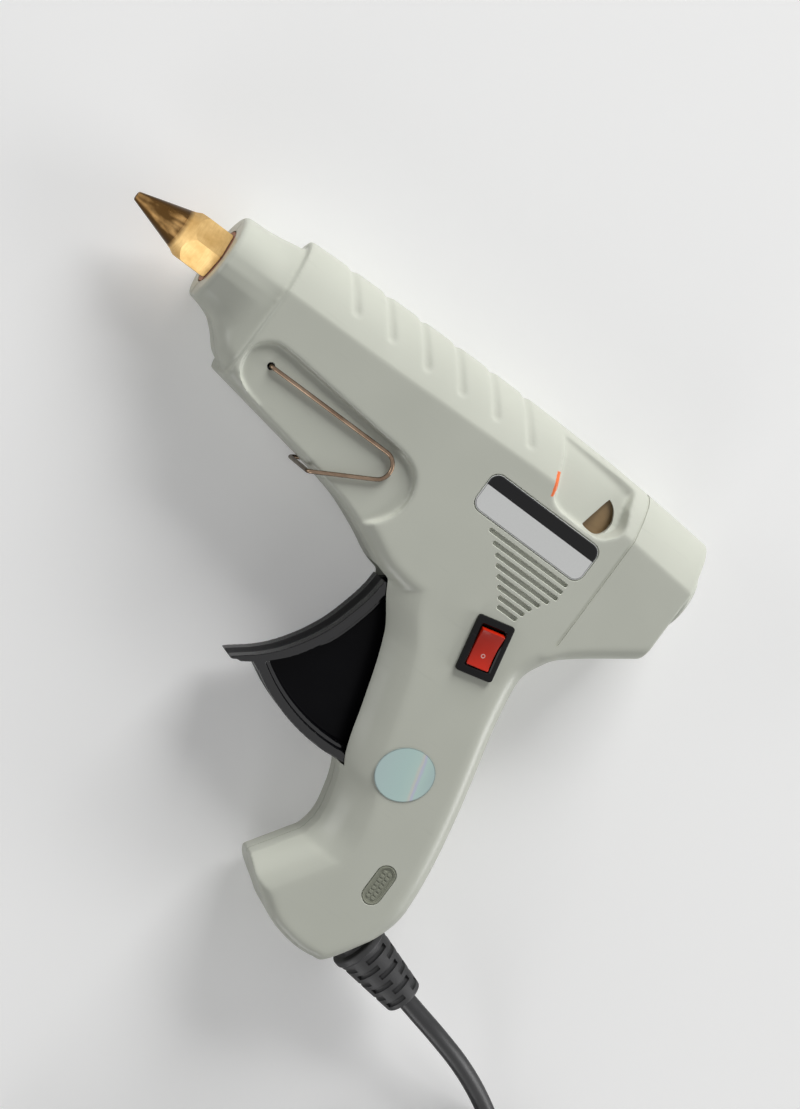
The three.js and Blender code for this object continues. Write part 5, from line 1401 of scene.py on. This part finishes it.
insertRows = [(0, 0), (0, 0.68), (0.16, 0.8), (0.7, 0.8), (0.9, 0.62), (1.5, 0.62), (1.7, 0.42)]
squareSetup = {"rows": 7, "aside": 0.82, "pitch": 1.32, "wide": 1.1, "high": 0.92, "corner": 0.15}


def insertOutline(inset):
    width, length = oval["width"] - 0.3 - inset, oval["length"] - 0.3 - inset
    return roundedBox(oval["x"], oval["y"], width, length, width / 2 - 0.01, 14)


# A pill with a rim and two columns of small squares
def makeInsert():
    base, setup = case["half"] - oval["depth"] + 0.1, squareSetup
    body = stack("ovalInsert", [(insertOutline(inset), base + up) for inset, up in insertRows])
    squares = []
    for row in range(setup["rows"]):
        for side in (-1, 1):
            x = oval["x"] + side * setup["aside"]
            y = oval["y"] + (row - (setup["rows"] - 1) / 2) * setup["pitch"]
            line = roundedBox(x, y, setup["wide"], setup["high"], setup["corner"], 2)
            levels = [(line, base + 0.2), (line, base + 0.58), (grown(line, -0.12), base + 0.7)]
            squares.append(stack("square", levels))
    add(body, *squares)
    kept(body, paints["insert"], "case", "insert", "oval_insert")


makePlate()
makeSticker()
makeInsert()


# Case screws with crossed recesses, in the far half's wells

def makeScrew(number, x, y):
    radius, shank, foot = screwHead["radius"], screwHead["shank"], screwHead["floor"] + 0.3
    head, tip = foot + screwHead["thick"], foot - screwHead["length"]
    line = [(head, 0), (head, radius - 0.9), (head - 0.25, radius - 0.35), (head - 0.7, radius),
            (foot, radius), (foot, shank), (tip + 0.3, shank), (tip, 0.4), (tip, 0)]
    body = moved(turned(f"caseScrew{number}", line, 40), Matrix.Rotation(math.radians(90), 4, "Y"))
    half = screwHead["slotHalf"]
    for angle in (0, 90):
        recess = block("slot", -1.5, 1.5, -half, half, -head - 1, 0.9 - head)
        cut(body, moved(recess, Matrix.Rotation(math.radians(angle + 20 * number), 4, "Z")))
    moved(body, Matrix.Translation((x, y, 0)))
    kept(body, paints["screw"], "case", "screw_steel", f"case_screw_{number}")


for number, (x, y) in enumerate(screwSpots, 1):
    makeScrew(number, x, y)
print("glue gun: small pieces made")


# Inner pieces and small parts that stay as they are, each with its finish

def dressNodes(table):
    for paint, nodes in table.items():
        for node in nodes:
            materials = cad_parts[node].data.materials
            materials.clear()
            materials.append(paints[paint])


dressNodes({
    "caseLeft": ["left_shell"],
    "caseRight": ["right_shell"],
    "aluminium": ["heating_chamber"],
    "heater": ["ptc_heater"],
    "gasket": ["front_gasket"],
    "spring": ["heater_clip", "sleeve_clamp", "return_spring"],
    "silicone": ["inlet_sleeve"],
    "steel": ["trigger_pin", "feed_pin", "pawl_pin", "grip_pawl"],
    "carriage": ["feed_carriage"],
    "brassBlade": ["switch_terminal_1", "switch_terminal_2"],
    "cord": ["inner_cord"],
    "black": ["cord_clamp"],
    "screw": ["clamp_screw_1", "clamp_screw_2"],
    "leadRed": ["wire_live"],
    "leadBlue": ["wire_neutral"],
    "leadWhite": ["wire_heater"],
})


# Floor and light

stageSetup = {"size": 14, "depth": 0.0002, "floor": (0.86, 0.86, 0.855), "lift": 0.2, "sky": 0.12,
              "backdrop": (0.92, 0.92, 0.92)}


def makeFloor(setup):
    half, colour = setup["size"] / 2, setup["floor"]
    corners = [(-half, -half, 0), (half, -half, 0), (half, half, 0), (-half, half, 0)]
    floor = makeObject("floor", makeMesh("floor", corners, [(0, 1, 2, 3)]))
    floor.location.z = -setup["depth"]
    paint = Paint("pale floor", Roughness=0.8, Emission_Strength=1)
    cloud = paint.noise(0.004, 2)
    seen = paint.node("LightPath", output="Is Camera Ray")
    floor.data.materials.append(paint.finish(
        Base_Color=paint.mix(cloud, colour, tuple(c * 0.985 for c in colour)),
        Emission_Color=paint.mix(seen, (0, 0, 0), (setup["lift"],) * 3)))


# The sky is full to the eye, through glass and in mirrors, and dim as a light
def makeSky(setup):
    world = bpy.data.worlds.new("studio")
    scene.world = world
    world.use_nodes = True
    sky = NodeMaker(world.node_tree)
    rays = ("Camera", "Transmission", "Glossy")
    eye, glass, mirror = (sky.node("LightPath", output=f"Is {ray} Ray") for ray in rays)
    shown = sky.maths("MAXIMUM", sky.maths("MAXIMUM", eye, glass), mirror)
    level = sky.node("MapRange", None, {"Value": shown, "To Min": setup["sky"], "To Max": 1})
    back = world.node_tree.nodes["Background"]
    sky.feed(back.inputs["Strength"], level)
    back.inputs["Color"].default_value = (*setup["backdrop"], 1)


lampSetup = {
    "key": {"spot": (-0.21, 2.8, 1.14), "size": 1.7, "power": 97, "mirrored": False},
    "right": {"spot": (2.1, 0.5, 0.62), "size": 1.1, "power": 19, "mirrored": True},
    "left": {"spot": (-2.1, -0.5, 0.62), "size": 1.1, "power": 9, "mirrored": True},
    "foot": {"spot": (0.5, -2.1, 0.62), "size": 1.1, "power": 10, "mirrored": True},
}


def makeLamps(setup):
    for name, lamp in setup.items():
        data = bpy.data.lights.new(name, "AREA")
        data.size = lamp["size"]
        data.energy = lamp["power"]
        holder = bpy.data.objects.new(name, data)
        scene.collection.objects.link(holder)
        holder.location = lamp["spot"]
        holder.visible_glossy = lamp["mirrored"]
        holder.rotation_euler = Vector(lamp["spot"]).to_track_quat("Z", "Y").to_euler()


makeFloor(stageSetup)
makeSky(stageSetup)
makeLamps(lampSetup)
print("glue gun: stage and lamps set")
